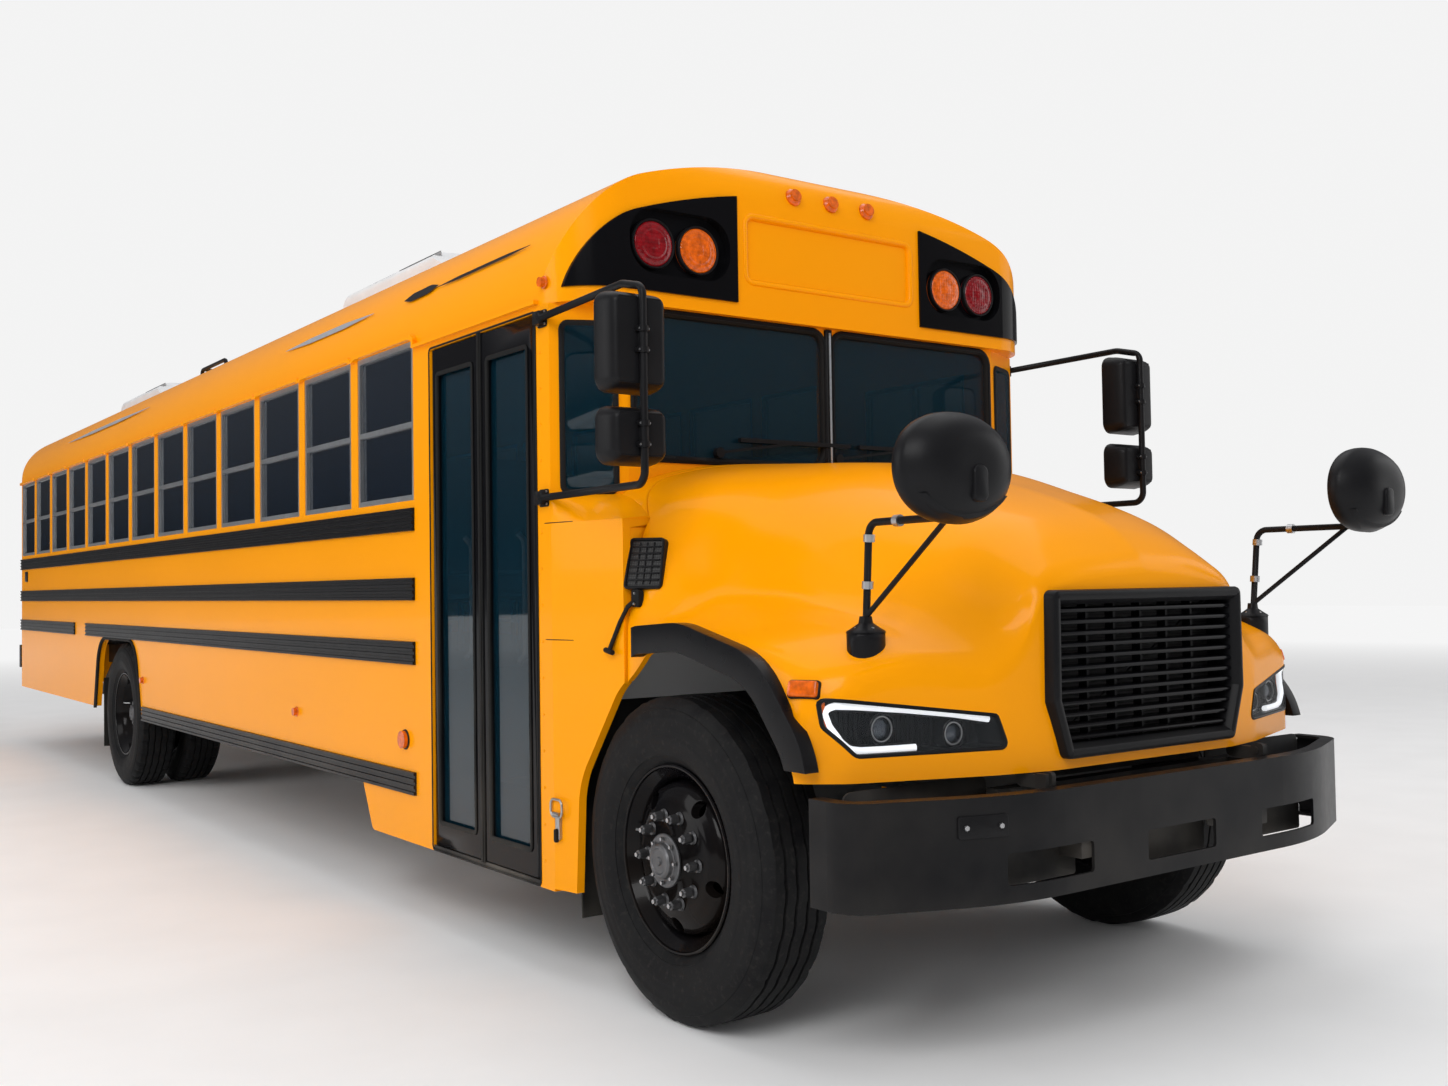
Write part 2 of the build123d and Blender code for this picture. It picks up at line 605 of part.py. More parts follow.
# ---------------------------------------------------------------- chassis
channel = Polygon((rail_half, rail_bottom), (rail_half, rail_top), (rail_half - rail_flange, rail_top),
                  (rail_half - rail_flange, rail_top - rail_web), (rail_half - rail_web, rail_top - rail_web),
                  (rail_half - rail_web, rail_bottom + rail_web), (rail_half - rail_flange, rail_bottom + rail_web),
                  (rail_half - rail_flange, rail_bottom), align=None)
crossmember_rows = [-5930.0, -3830.0, -2700.0, -900.0, 900.0, 3300.0, 4700.0, 5950.0]
crossmember_z = (800.0, 940.0)
rail = along_y(channel, rail_front, rail_rear)
frame = rail + mirrored(rail)
for y in crossmember_rows:
    frame += block((-rail_half + rail_web / 2, rail_half - rail_web / 2), (y - 30, y + 30), crossmember_z)
frame += block((-600, 600), (-6000, -5950), (752, 792))
for sign in (-1, 1):
    x = sorted((sign * (arm_x[1] + 4), sign * (arm_x[1] + 20)))
    frame += block(x, (hood_pivot_y - 25, -5960), (752, 792))
    frame += block(x, (hood_pivot_y - 20, hood_pivot_y + 20), (780, hood_pivot_z + 20))
    pin = sorted((sign * (arm_x[0] - 4), sign * (arm_x[1] + 12)))
    frame += rod_x(pin_r, *pin, hood_pivot_y, hood_pivot_z)
    horn = sorted((sign * 400, sign * 464))
    frame += block(horn, (bumper_front_y + bumper_wall + play, -5960), (600, 760))
    frame += block(horn, (-5965, -5900), (600, 760))
add("frame_rails", frame)

# ---------------------------------------------------------------- wheels, axles and springs
wheel_z = tyre_radius


def turned(rows, x, y):
    """Ring turned round the wheel's axle from rows of (offset along x, radius)."""
    face = Plane.XY * Polygon(*rows, align=None)
    return Pos(x, y, wheel_z) * revolve(face, Axis.X, 360)


tyre_half_rows = [(-95.7, 289.4), (-100.6, 305.4), (-tyre_width / 2, 395), (8 - tyre_width / 2, 485), (-102, tyre_radius)]
tyre_rows = tyre_half_rows + [(-x, radius) for x, radius in reversed(tyre_half_rows)]
rim_rows = [
    (-110, 305), (-101, 305), (-96, 289), (96, 289), (101, 305), (110, 305), (110, 296), (60, 254), (-60, 254), (-110, 296),
]


def disc_rows(face):
    """Wheel disc: from the rim's well out to a flat hub face at offset `face`."""
    sense = 1 if face > 0 else -1
    return [
        (sense * 20, 254), (sense * 34, 254), (face * 0.75, 238), (face, 184), (face, 70),
        (face - sense * 14, 70), (face - sense * 14, 174), (sense * 20, 232),
    ]


def hand_holes(wheel, x, y):
    for i in range(5):
        at = Pos(x, y, wheel_z) * Rot(36 + 72 * i, 0, 0) * Pos(0, 0, 213)
        wheel -= at * Rot(0, 90, 0) * Cylinder(27, 260)
    return wheel


front_face = 112.0          # hub face of a front wheel, outwards from its centre
rear_face = 140.0           # hub face of each rear wheel, towards its twin
hub_nose_r = 78.0


def front_wheel():
    x = wheel_track_half
    wheel = turned(rim_rows, x, front_axle_y) + turned(disc_rows(front_face), x, front_axle_y)
    wheel = hand_holes(wheel, x, front_axle_y)
    hub = rod_x(hub_r, x - 52, x + front_face - 7, front_axle_y, wheel_z)
    drum = rod_x(208, x - 70, x - 30, front_axle_y, wheel_z)
    nose = rod_x(hub_nose_r, x + front_face - 8, x + front_face + 30, front_axle_y, wheel_z)
    bore = rod_x(spindle_r + slip, x - 80, x + 60, front_axle_y, wheel_z)
    return wheel + hub + drum + nose - bore, turned(tyre_rows, x, front_axle_y)


def rear_wheel():
    outer_x = twin_outer_x
    inner_x = twin_outer_x - twin_gap
    face = twin_gap / 2
    wheel = turned(rim_rows, outer_x, rear_axle_y) + turned(disc_rows(-face), outer_x, rear_axle_y)
    wheel += turned(rim_rows, inner_x, rear_axle_y) + turned(disc_rows(face), inner_x, rear_axle_y)
    wheel = hand_holes(wheel, (outer_x + inner_x) / 2, rear_axle_y)
    wheel += rod_x(hub_r, inner_x + 60, (outer_x + inner_x) / 2 + 60, rear_axle_y, wheel_z)
    wheel += rod_x(88, (outer_x + inner_x) / 2 + 50, outer_x + 40, rear_axle_y, wheel_z)
    wheel += rod_x(208, inner_x - 60, inner_x + 80, rear_axle_y, wheel_z)
    wheel -= rod_x(spindle_r + slip, inner_x - 80, inner_x + 150, rear_axle_y, wheel_z)
    tyres = turned(tyre_rows, outer_x, rear_axle_y), turned(tyre_rows, inner_x, rear_axle_y)
    return wheel, list(tyres)


wheel_front, tyre_front = front_wheel()
wheel_rear, tyres_rear = rear_wheel()
add("wheel_front_left", wheel_front)
add("tyre_front_left", tyre_front)
add("wheel_front_right", mirrored(wheel_front))
add("tyre_front_right", mirrored(tyre_front))
add("wheels_rear_left", wheel_rear)
add("tyres_rear_left", tyres_rear)
add("wheels_rear_right", mirrored(wheel_rear))
add("tyres_rear_right", [mirrored(tyre) for tyre in tyres_rear])

# front axle: dropped I-beam with an eye for each kingpin
boss_z = (wheel_z - 55, wheel_z + 55)
beam_rows = [
    (-kingpin_x, 480), (-kingpin_x, 560), (-800, 560, 60), (-640, 452, 80), (640, 452, 80), (800, 560, 60),
    (kingpin_x, 560), (kingpin_x, 480), (800, 480, 60), (660, 372, 80), (-660, 372, 80), (-800, 480, 60),
]
beam = along_y(outline(beam_rows), front_axle_y - 48, front_axle_y + 48)
for x in (-kingpin_x, kingpin_x):
    beam += rod_z(46, *boss_z, x, front_axle_y)
for x in (-kingpin_x, kingpin_x):
    beam -= rod_z(kingpin_r + slip, 300, 700, x, front_axle_y)
add("front_axle", beam)

knuckle_plate = block((935, 962), (front_axle_y - 62, front_axle_y + 62), (boss_z[0] - 36, boss_z[1] + 36))
knuckle = knuckle_plate
for low, high in ((boss_z[0] - 36, boss_z[0] - play), (boss_z[1] + play, boss_z[1] + 36)):
    knuckle += rod_z(48, low, high, kingpin_x, front_axle_y)
    knuckle += block((kingpin_x, 940), (front_axle_y - 48, front_axle_y + 48), (low, high))
knuckle += rod_z(kingpin_r, boss_z[0] - 30, boss_z[1] + 30, kingpin_x, front_axle_y)
knuckle += rod_x(spindle_r, 955, wheel_track_half + 50, front_axle_y, wheel_z)
add("knuckle_left", knuckle)
add("knuckle_right", mirrored(knuckle))

# leaf springs hang from the frame and carry both axles
spring_x = 420.0
leaf = 12.0


def leaf_pack(x, y, seat_z, span, leaves):
    """Stack of leaves under the frame: the main leaf rises to its two hangers."""
    pack = None
    for i in range(leaves):
        reach = span / 2 * (1 - 0.16 * i)
        rise = 90.0 * (1 - 0.16 * i) ** 2
        low = seat_z + (leaves - 1 - i) * leaf
        row = ThreePointArc((y - reach, low + rise), (y, low), (y + reach, low + rise))
        top = ThreePointArc((y + reach, low + rise + leaf), (y, low + leaf), (y - reach, low + rise + leaf))
        ends = [Line(row @ 1, top @ 0), Line(top @ 1, row @ 0)]
        face = make_face([row, ends[0], top, ends[1]])
        strip = along_x(face, x - 38, x + 38)
        pack = strip if pack is None else pack + strip
    hanger_low = seat_z + (leaves - 1) * leaf + 90 - 10
    for end in (-1, 1):
        near = y + end * (span / 2 - 40)
        pack += block((x - 30, x + 30), (near - 40, near + 40), (hanger_low, rail_bottom - play))
    return pack


front_spring = leaf_pack(spring_x, front_axle_y, 452 + play, 1400, 4)
rear_seat_z = wheel_z + 80
rear_spring = leaf_pack(spring_x + 10, rear_axle_y, rear_seat_z + play, 1500, 3)
add("leaf_springs", pair(front_spring), pair(rear_spring))

tube = rod_x(78, -650, 650, rear_axle_y, wheel_z)
banjo = Pos(0, rear_axle_y, wheel_z) * Rot(90, 0, 0) * Cylinder(205, 240)
axle_nose = 330.0
nose = rod_y(110, rear_axle_y - axle_nose, rear_axle_y, 0, wheel_z)
rear_axle = tube + banjo + nose
for sign in (-1, 1):
    rear_axle += block(sorted((sign * (spring_x - 40), sign * (spring_x + 60))), (rear_axle_y - 60, rear_axle_y + 60), (wheel_z, rear_seat_z))
    rear_axle += rod_x(spindle_r, *sorted((sign * 640, sign * (twin_outer_x - twin_gap + 140))), rear_axle_y, wheel_z)
add("rear_axle", rear_axle)

# engine with its gearbox, the shaft to the rear axle, exhaust and tank
engine_y = (-5760.0, -4620.0)
gearbox_end = -3900.0
gearbox_z = 700.0
engine_low = 690.0
engine = block((-330, 330), engine_y, (engine_low, 1480))
gearbox = block((-200, 200), (engine_y[1] + play, gearbox_end), (520, 900))
engine_foot = block((325, rail_half - rail_web - play), (-5240, -5160), (rail_bottom + rail_web + play, 860))
add("engine", engine + engine_foot + mirrored(engine_foot), gearbox)
add("radiator", block((-340, 340), (-5935, -5850), (crossmember_z[1] + play, 1420)))
shaft_r = 48.0
shaft_from = Vector(0, gearbox_end, gearbox_z)
shaft_way = Vector(0, rear_axle_y - axle_nose, wheel_z) - shaft_from
shaft_end = shaft_r * abs(shaft_way.Z) / shaft_way.length + play
shaft_at = Plane(origin=shaft_from + shaft_way.normalized() * shaft_end, z_dir=shaft_way)
add("driveshaft", extrude(shaft_at * Circle(shaft_r), shaft_way.length - 2 * shaft_end))
tank_x = (480.0, 1120.0)
tank = block(tank_x, (-2500, -900), (560, 980))
tank = fillet(tank.edges().filter_by(Axis.Y), 90)
for y in (-2360.0, -1040.0):
    tank += block((rail_half + play, tank_x[0] + 10), (y - 40, y + 40), (760, 900))
add("fuel_tank", tank)
pipe_r = 45.0
muffler_x = -570.0
tail_x = -530.0
muffler_y = (-3000.0, -1900.0)
muffler_z = 740.0
muffler_r = 120.0
down_pipe = [(-270, -4680, engine_low - play), (-270, -4680, 630), (-270, -4350, 625), (-500, -3900, 620), (-500, -3300, 620),
             (muffler_x, muffler_y[0] + 20, muffler_z)]
tail_pipe = [(tail_x, muffler_y[1] - 20, muffler_z), (tail_x, 5300, muffler_z), (tail_x, 5750, 480), (tail_x, 6120, 480)]
exhaust = rod_y(muffler_r, *muffler_y, muffler_x, muffler_z)
exhaust += bent_tube(down_pipe, [50, 100, 200, 150], pipe_r) + bent_tube(tail_pipe, [200, 200], pipe_r)
for y, z in ((-2470.0, 860.0), (400.0, 770.0)):
    exhaust += block((tail_x, -rail_half - play), (y - 30, y + 30), (z - 40, z + 40))
add("exhaust", exhaust)

# ---------------------------------------------------------------- windows in the sides
def window_sash(start):
    """Aluminium frame of one side window, with its middle rail, and its two panes."""
    y = (start + play, start + window_length - play)
    z = (window_sill + play, window_head - play)
    inner_y = (y[0] + sash_bar, y[1] - sash_bar)
    inner_z = (z[0] + sash_bar, z[1] - sash_bar)
    ring = square(y, z) - square(inner_y, inner_z)
    ring += Pos((y[0] + y[1]) / 2, sash_mid_z) * Rectangle(inner_y[1] - inner_y[0] + 2, sash_bar)
    x = -half_width + 3
    sash = along_x(ring, x, x + sash_depth)
    panes = []
    pane_x = x + sash_depth / 2 - glass / 2
    for low, high in ((inner_z[0], sash_mid_z - sash_bar / 2), (sash_mid_z + sash_bar / 2, inner_z[1])):
        pane = square((inner_y[0] + play, inner_y[1] - play), (low + play, high - play))
        panes.append(along_x(pane, pane_x, pane_x + glass))
    return sash, panes


sashes = []
panes = []
for start in window_starts:
    sash, pane_pair = window_sash(start)
    sashes.append(sash)
    panes += pane_pair
driver_y, driver_z = driver_window
driver_ring = square((driver_y[0] + play, driver_y[1] - play), (driver_z[0] + play, driver_z[1] - play))
driver_ring -= square((driver_y[0] + play + sash_bar, driver_y[1] - play - sash_bar),
                      (driver_z[0] + play + sash_bar, driver_z[1] - play - sash_bar))
driver_ring += Pos(sum(driver_y) / 2, sum(driver_z) / 2) * Rectangle(sash_bar, driver_z[1] - driver_z[0] - 8)
driver_sash = mirrored(along_x(driver_ring, -half_width + 3, -half_width + 3 + sash_depth))
driver_panes = []
middle = sum(driver_y) / 2
for low, high in ((driver_y[0] + sash_bar + play, middle - sash_bar / 2), (middle + sash_bar / 2, driver_y[1] - sash_bar - play)):
    pane = square((low + play, high - play), (driver_z[0] + sash_bar + 2 * play, driver_z[1] - sash_bar - 2 * play))
    driver_panes.append(mirrored(along_x(pane, -half_width + 18, -half_width + 18 + glass)))
add("window_frames", [copy for sash in sashes for copy in pair(sash)], driver_sash)
side_panes = [copy for pane in panes for copy in pair(pane)] + driver_panes

# scalloped drip rail over the windows and straight over the door
drip_low = window_head + 4
drip = Polygon((cap_joint_y, 2446), (window_first_y - 24, 2446), (window_first_y - 24, 2460), (cap_joint_y, 2460), align=None)
for start in window_starts:
    end = start + window_length
    drip += Polygon((start - 46, 2478), (start - 28, 2478), (start + 10, drip_low), (end - 10, drip_low), (end + 28, 2478),
                    (end + 46, 2478), (end + 16, drip_low + 16), (start - 16, drip_low + 16), align=None)
drip += Polygon((window_first_y - 42, 2446), (window_first_y - 24, 2446), (window_first_y - 24, 2490), (window_first_y - 42, 2490), align=None)
drip_bar = along_x(drip, -half_width - 20, -half_width + 1)
drip_bar &= block((-half_width - 30, 0), (cap_joint_y, wall_rear_y), (2000, 3000))
drip_bar -= block((-half_width - play, 0), (cap_joint_y - 10, wall_rear_y + 10), (eave_z - play, 3000))
side_wall_right += drip_bar
side_wall_left += mirrored(drip_bar)


# ---------------------------------------------------------------- rub rails
def rub_rail(low, high, start, end):
    """Pressed rail with four ribs."""
    ribs = 4
    rib = (high - low) / (2 * ribs - 1)
    rows = [(-half_width - play, low)]
    for i in range(ribs):
        z = low + 2 * rib * i
        rows += [(-half_width - rail_proud, z + 1), (-half_width - rail_proud, z + rib - 1)]
        if i < ribs - 1:
            rows += [(-half_width - rail_proud + 6, z + rib + 1), (-half_width - rail_proud + 6, z + 2 * rib - 1)]
    rows.append((-half_width - play, high))
    return along_y(Polygon(*rows, align=None), start, end)


rails = []
for name, low, high in rail_rows:
    if name == "floor":
        rails += [rub_rail(low, high, rail_front_y, rail_break[0]), rub_rail(low, high, rail_break[1], wall_rear_y)]
    else:
        rails.append(rub_rail(low, high, rail_front_y, wall_rear_y))
rails.append(rub_rail(*skirt_rail, rail_front_y, skirt_rail_rear_y))
stop_bracket_y = (-2960.0, -2884.0)
stop_bracket_z = (1320.0, 1520.0)
bracket_room = block((half_width - 1, half_width + 50), (stop_bracket_y[0] - play, stop_bracket_y[1] + play),
                     (stop_bracket_z[0] - play, stop_bracket_z[1] + play))
add("rub_rails", rails, [mirrored(rail) - bracket_room for rail in rails])

# ---------------------------------------------------------------- entrance door, two leaves
leaf_x = (-half_width + 2, -half_width + 2 + door_thick)
leaf_mid_x = (leaf_x[0] + leaf_x[1]) / 2
leaf_z = (door_sill + 6, door_head - 6)
door_pin_r = 10.0
front_pivot_y = door_front_y + door_gap + door_thick / 2
rear_pivot_y = door_rear_y - door_gap - door_thick / 2
leaf_frame = 62.0


def door_leaf(pivot_y, sense):
    """Leaf that turns about an upright shaft at pivot_y and reaches along sense to the middle."""
    free_y = door_mid_y - sense * 4
    low, high = sorted((pivot_y, free_y))
    plan = Pos((leaf_x[0] + leaf_x[1]) / 2, (low + high) / 2) * Rectangle(door_thick, high - low)
    plan += Pos(leaf_mid_x, pivot_y) * Circle(door_thick / 2)
    leaf_body = along_z(plan, *leaf_z)
    pane_y = sorted((pivot_y - sense * door_thick / 2 + sense * leaf_frame, free_y - sense * leaf_frame))
    pane_z = (leaf_z[0] + 95, leaf_z[1] - 105)
    leaf_body -= along_x(square(pane_y, pane_z), leaf_x[0] - 5, leaf_x[1] + 5)
    leaf_body += rod_z(door_pin_r, leaf_z[0] - 20, leaf_z[1] + 24, leaf_mid_x, pivot_y)
    pane = square((pane_y[0] + play, pane_y[1] - play), (pane_z[0] + play, pane_z[1] - play))
    return leaf_body, along_x(pane, leaf_mid_x - glass / 2, leaf_mid_x + glass / 2)


leaf_front, leaf_front_glass = door_leaf(front_pivot_y, 1)
leaf_rear, leaf_rear_glass = door_leaf(rear_pivot_y, -1)
add("entry_leaf_front", leaf_front)
add("entry_glass_front", leaf_front_glass)
add("entry_leaf_rear", leaf_rear)
add("entry_glass_rear", leaf_rear_glass)
for y in (front_pivot_y, rear_pivot_y):
    side_wall_right -= rod_z(door_pin_r + slip, leaf_z[1] - 5, leaf_z[1] + 30, leaf_mid_x, y)
    stairs -= rod_z(door_pin_r + slip, door_sill - 40, leaf_z[0], leaf_mid_x, y)
add("side_wall_right", side_wall_right)
add("stepwell", stairs)

# ---------------------------------------------------------------- emergency door at the rear
hinge_r = 11.0
hinge_pin_r = 6.0
rear_hinge_x = -rear_door_half - 6
rear_hinge_y = body_rear_y + hinge_r + door_gap
hinge_rows = [1250.0, 1750.0, 2250.0]
hinge_half = 40.0
rear_leaf_x = (-rear_door_half + door_gap, rear_door_half - door_gap)
rear_leaf_z = (rear_door_z[0] + door_gap, rear_door_z[1] - door_gap)
rear_leaf_y = (body_rear_y - 40.0, body_rear_y)
rear_door = along_y(rounded(rear_leaf_x, rear_leaf_z, 20), *rear_leaf_y)
upper_pane = ((-390.0, 390.0), (1760.0, 2360.0))
lower_pane = ((-390.0, 390.0), (1230.0, 1560.0))
door_panes = []
for pane_x, pane_z in (upper_pane, lower_pane):
    rear_door -= along_y(rounded(pane_x, pane_z, 40), body_rear_y - 60, body_rear_y + 10)
    face = rounded((pane_x[0] + play, pane_x[1] - play), (pane_z[0] + play, pane_z[1] - play), 40)
    door_panes.append(along_y(face, body_rear_y - 24, body_rear_y - 24 + glass))
for z in hinge_rows:
    rear_door += rod_z(hinge_r, z - hinge_half, z + hinge_half, rear_hinge_x, rear_hinge_y)
    rear_door += block((rear_hinge_x, 60 - rear_door_half), (rear_hinge_y - 6, rear_hinge_y), (z - hinge_half, z + hinge_half))
    rear_door += block((rear_leaf_x[0] + 5, 60 - rear_door_half), (body_rear_y - 1, rear_hinge_y), (z - hinge_half, z + hinge_half))
    rear_door += rod_z(hinge_pin_r, z - hinge_half - 24, z + hinge_half + 24, rear_hinge_x, rear_hinge_y)
    for low, high in ((z - hinge_half - 30, z - hinge_half - play), (z + hinge_half + play, z + hinge_half + 30)):
        knuckle_barrel = rod_z(hinge_r, low, high, rear_hinge_x, rear_hinge_y)
        knuckle_barrel += block((rear_hinge_x - 60, rear_hinge_x), (body_rear_y - 1, rear_hinge_y), (low, high))
        rear_wall += knuckle_barrel - rod_z(hinge_pin_r + slip, low - 5, high + 5, rear_hinge_x, rear_hinge_y)
add("rear_door", rear_door)
add("rear_door_glass", door_panes)
plate_at = (800.0, 1010.0)
plate_spacing = (177.8, 120.65)
plate_hole_r = 3.5
for x in (-plate_spacing[0] / 2, plate_spacing[0] / 2):
    for z in (-plate_spacing[1] / 2, plate_spacing[1] / 2):
        rear_wall -= rod_y(plate_hole_r, body_rear_y - wall - 5, body_rear_y + 5, plate_at[0] + x, plate_at[1] + z)
add("rear_wall", rear_wall)
rear_panes = square((rear_window_x[0] + play, rear_window_x[1] - play), (window_sill + play, 2400 - play))
rear_pane = along_y(rear_panes, body_rear_y - 24, body_rear_y - 24 + glass)
add("body_glass", side_panes, pair(rear_pane))
rear_bumper_wall = 10.0
rear_bumper_start = body_rear_y + play
rear_bumper_plan = outline([
    (-half_width, rear_bumper_start), (half_width, rear_bumper_start), (half_width, rear_bumper_y, 40),
    (-half_width, rear_bumper_y, 40),
])
rear_bumper = along_z(rear_bumper_plan, rear_bumper_low, rear_bumper_top)
inside_half = half_width - rear_bumper_wall
rear_bumper -= block((-inside_half, inside_half), (rear_bumper_start - 1, rear_bumper_y - rear_bumper_wall),
                     (rear_bumper_low + rear_bumper_wall, rear_bumper_top - rear_bumper_wall))
add("rear_bumper", rear_bumper)

# ---------------------------------------------------------------- lamps
tail_rows = [(885.0, 1520.0, 89.0), (1085.0, 1520.0, 89.0), (985.0, 1240.0, 60.0)]
tail_proud = 22.0
tail_lamps = []
for x, z, radius in tail_rows:
    lamp = rod_y(radius, body_rear_y + play, body_rear_y + tail_proud, x, z)
    lamp = chamfer(lamp.edges().filter_by(GeomType.CIRCLE).sort_by(Axis.Y)[-1], 9)
    tail_lamps += pair(lamp)
add("red_lamps", warning_red, tail_lamps)

# amber markers: three on the brow, then round ones on the sides as y, z, radius
brow_tilt = radians(15)
brow_y = cap_y + cap_brow - cap_brow * cos(brow_tilt)
brow_z = roof_crown - cap_brow + cap_brow * sin(brow_tilt)
marker_r = 26.0
marker_proud = 24.0
marker_rows = [-194.0, 0.0, 194.0]
side_marker_rows = [(-3127.0, 758.0, 38.0), (-1743.0, 791.0, 20.0), (1406.0, 808.0, 20.0), (-4410.0, 2519.0, 18.0)]
eave_marker_inset = 1.0
markers = []
for x in marker_rows:
    brow_at = Plane(origin=(x, brow_y, brow_z), z_dir=(0, -cos(brow_tilt), sin(brow_tilt)))
    markers.append(extrude(brow_at.offset(play) * Circle(marker_r), marker_proud))
for y, z, radius in side_marker_rows:
    inset = eave_marker_inset if z > eave_z else -play
    markers += pair(rod_x(radius, -half_width - 22, -half_width + inset, y, z))
add("amber_lamps", warning_amber, markers)

# ---------------------------------------------------------------- mirrors beside the windshield
mirror_x = -1262.0
mirror_y = -5070.0
mirror_deep = 100.0
mirror_half = 118.0
head_rows = [(2030.0, 2362.0), (1796.0, 1990.0)]
mirror_tube_r = 13.0
mirror_front_y = mirror_y - mirror_deep / 2 - mirror_tube_r - play
arm_high = 2388.0
arm_low = 1733.0
mount_y = -4392.0
mount_deep = 30.0
arm_x = -half_width - mount_deep / 2
loop = [
    (arm_x, mount_y - 10, arm_high), (mirror_x, mirror_front_y + 120, arm_high + 10),
    (mirror_x, mirror_front_y, arm_high - 20), (mirror_x, mirror_front_y, arm_low), (arm_x, mount_y - 10, arm_low),
]
side_mirror = bent_tube(loop, [100, 40, 45], mirror_tube_r)
for low, high in head_rows:
    head = block((mirror_x - mirror_half, mirror_x + mirror_half),
                 (mirror_y - mirror_deep / 2, mirror_y + mirror_deep / 2), (low, high))
    head = fillet(head.edges().filter_by(Axis.Y), 45)
    head = chamfer(head.faces().sort_by(Axis.Y)[0].edges(), 26)
    clamp_z = (low + high) / 2
    clamp = block((mirror_x - 14, mirror_x + 14), (mirror_front_y - 6, mirror_y), (clamp_z - 40, clamp_z + 40))
    side_mirror = side_mirror + head + clamp
for z in (arm_high, arm_low):
    side_mirror += block((-half_width - mount_deep, -half_width - play), (mount_y - 28, mount_y + 20), (z - 24, z + 24))
add("side_mirrors", pair(side_mirror))

# crossover mirrors on the fenders
cross_base = (962.0, -5834.0)
cross_tube_r = 11.0
cross_brace_r = 8.0
cross_foot = (62.0, 48.0)
cross_foot_z = 1262.0
cross_bend_z = 1580.0
cross_loop = [
    (cross_base[0], cross_base[1], cross_foot_z - 10), (cross_base[0] + 3, cross_base[1] - 25, cross_bend_z),
    (cross_x - 24, cross_y + 37, cross_bend_z), (cross_x - 12, cross_y + 6, cross_z - 60),
]
cross_mirror = bent_tube(cross_loop, [40, 38], cross_tube_r)
brace_from = Vector(cross_base[0] + 1, cross_base[1] - 8, cross_foot_z + 50)
brace_way = Vector(cross_x - 30, cross_y + 90, cross_bend_z - 4) - brace_from
cross_mirror += extrude(Plane(origin=brace_from, z_dir=brace_way) * Circle(cross_brace_r), brace_way.length)
cross_rows = [(1.0, 0.94), (0.72, 1.0), (0.30, 0.86), (0.0, 0.55)]  # share of the depth, share of the size
cross_faces = []
for deep, share in cross_rows:
    y = front_tip_y + 2 * cross_half[1] * deep
    cross_faces.append(Plane(origin=(cross_x, y, cross_z), x_dir=(1, 0, 0), z_dir=(0, -1, 0))
                       * Ellipse(cross_half[0] * share, cross_half[2] * share))
cross_mirror += loft(cross_faces, ruled=True)
cross_mirror += rod_z(20, cross_z - 90, cross_z - 10, cross_x - 12, cross_y + 6)
foot = along_z(Pos(*cross_base) * Ellipse(*cross_foot), cross_foot_z - 90, cross_foot_z)
cross_mirror += foot - hood_room
add("crossover_mirrors", pair(cross_mirror))

# ---------------------------------------------------------------- air units on the roof
unit_length = 1476.0
unit_half = 560.0
unit_shoulder = (440.0, 3262.0)
unit_top = 3300.0
unit_side_z = 3190.0
unit_foot_z = 2900.0
unit_starts = [-2150.0, 3500.0]
half_rows = [(-unit_half, unit_foot_z), (-unit_half, unit_side_z, 50), (-unit_shoulder[0], unit_shoulder[1], 200)]
unit_across = outline(half_rows + [(0, unit_top)] + [(-row[0],) + row[1:] for row in reversed(half_rows)])
units = []
for start in unit_starts:
    end = start + unit_length
    side_face = outline([
        (start, unit_foot_z), (start, 3110, 60), (start + 420, unit_top + 6, 400), (end - 180, unit_top + 6, 200),
        (end, 3110, 60), (end, unit_foot_z),
    ])
    unit = along_y(unit_across, start, end) & along_x(side_face, -unit_half - 10, unit_half + 10)
    units.append(unit - along_y(Pos(0, roof_crown - roof_arc) * Circle(roof_arc + play), start - 10, end + 10))
add("roof_air_units", units)

# ---------------------------------------------------------------- seats
seat_inner_x = -190.0
seat_wall_x = -half_width + wall + 4
seat_z = 1495.0
seat_cushion = 130.0
seat_back_top = 2060.0
seat_deep = 400.0
seat_back = 85.0
seat_leg = (30.0, 45.0)


def bench(y, x, legs):
    """Bench that faces forward, with legs under it at the x given."""
    frame_z = seat_z - seat_cushion
    seat = block(x, (y, y + seat_deep + seat_back), (frame_z, seat_z))
    seat += block(x, (y + seat_deep, y + seat_deep + seat_back), (seat_z - 1, seat_back_top))
    seat = chamfer(seat.edges().filter_by(Axis.X).sort_by(Axis.Z)[-2:], 25)
    for leg_x in legs:
        for leg_y in (y + 60, y + seat_deep):
            seat += block((leg_x, leg_x + seat_leg[0]), (leg_y, leg_y + seat_leg[1]), (floor_top + play, frame_z + 1))
    return seat


seats = []
for start in window_starts:
    seats += pair(bench(start + 60, (seat_wall_x, seat_inner_x), [seat_inner_x - 80]))
driver_x = 620.0
driver_half = 245.0
seats.append(bench(-3860, (driver_x - driver_half, driver_x + driver_half), [driver_x - 180, driver_x + 150]))
add("seats", seats)

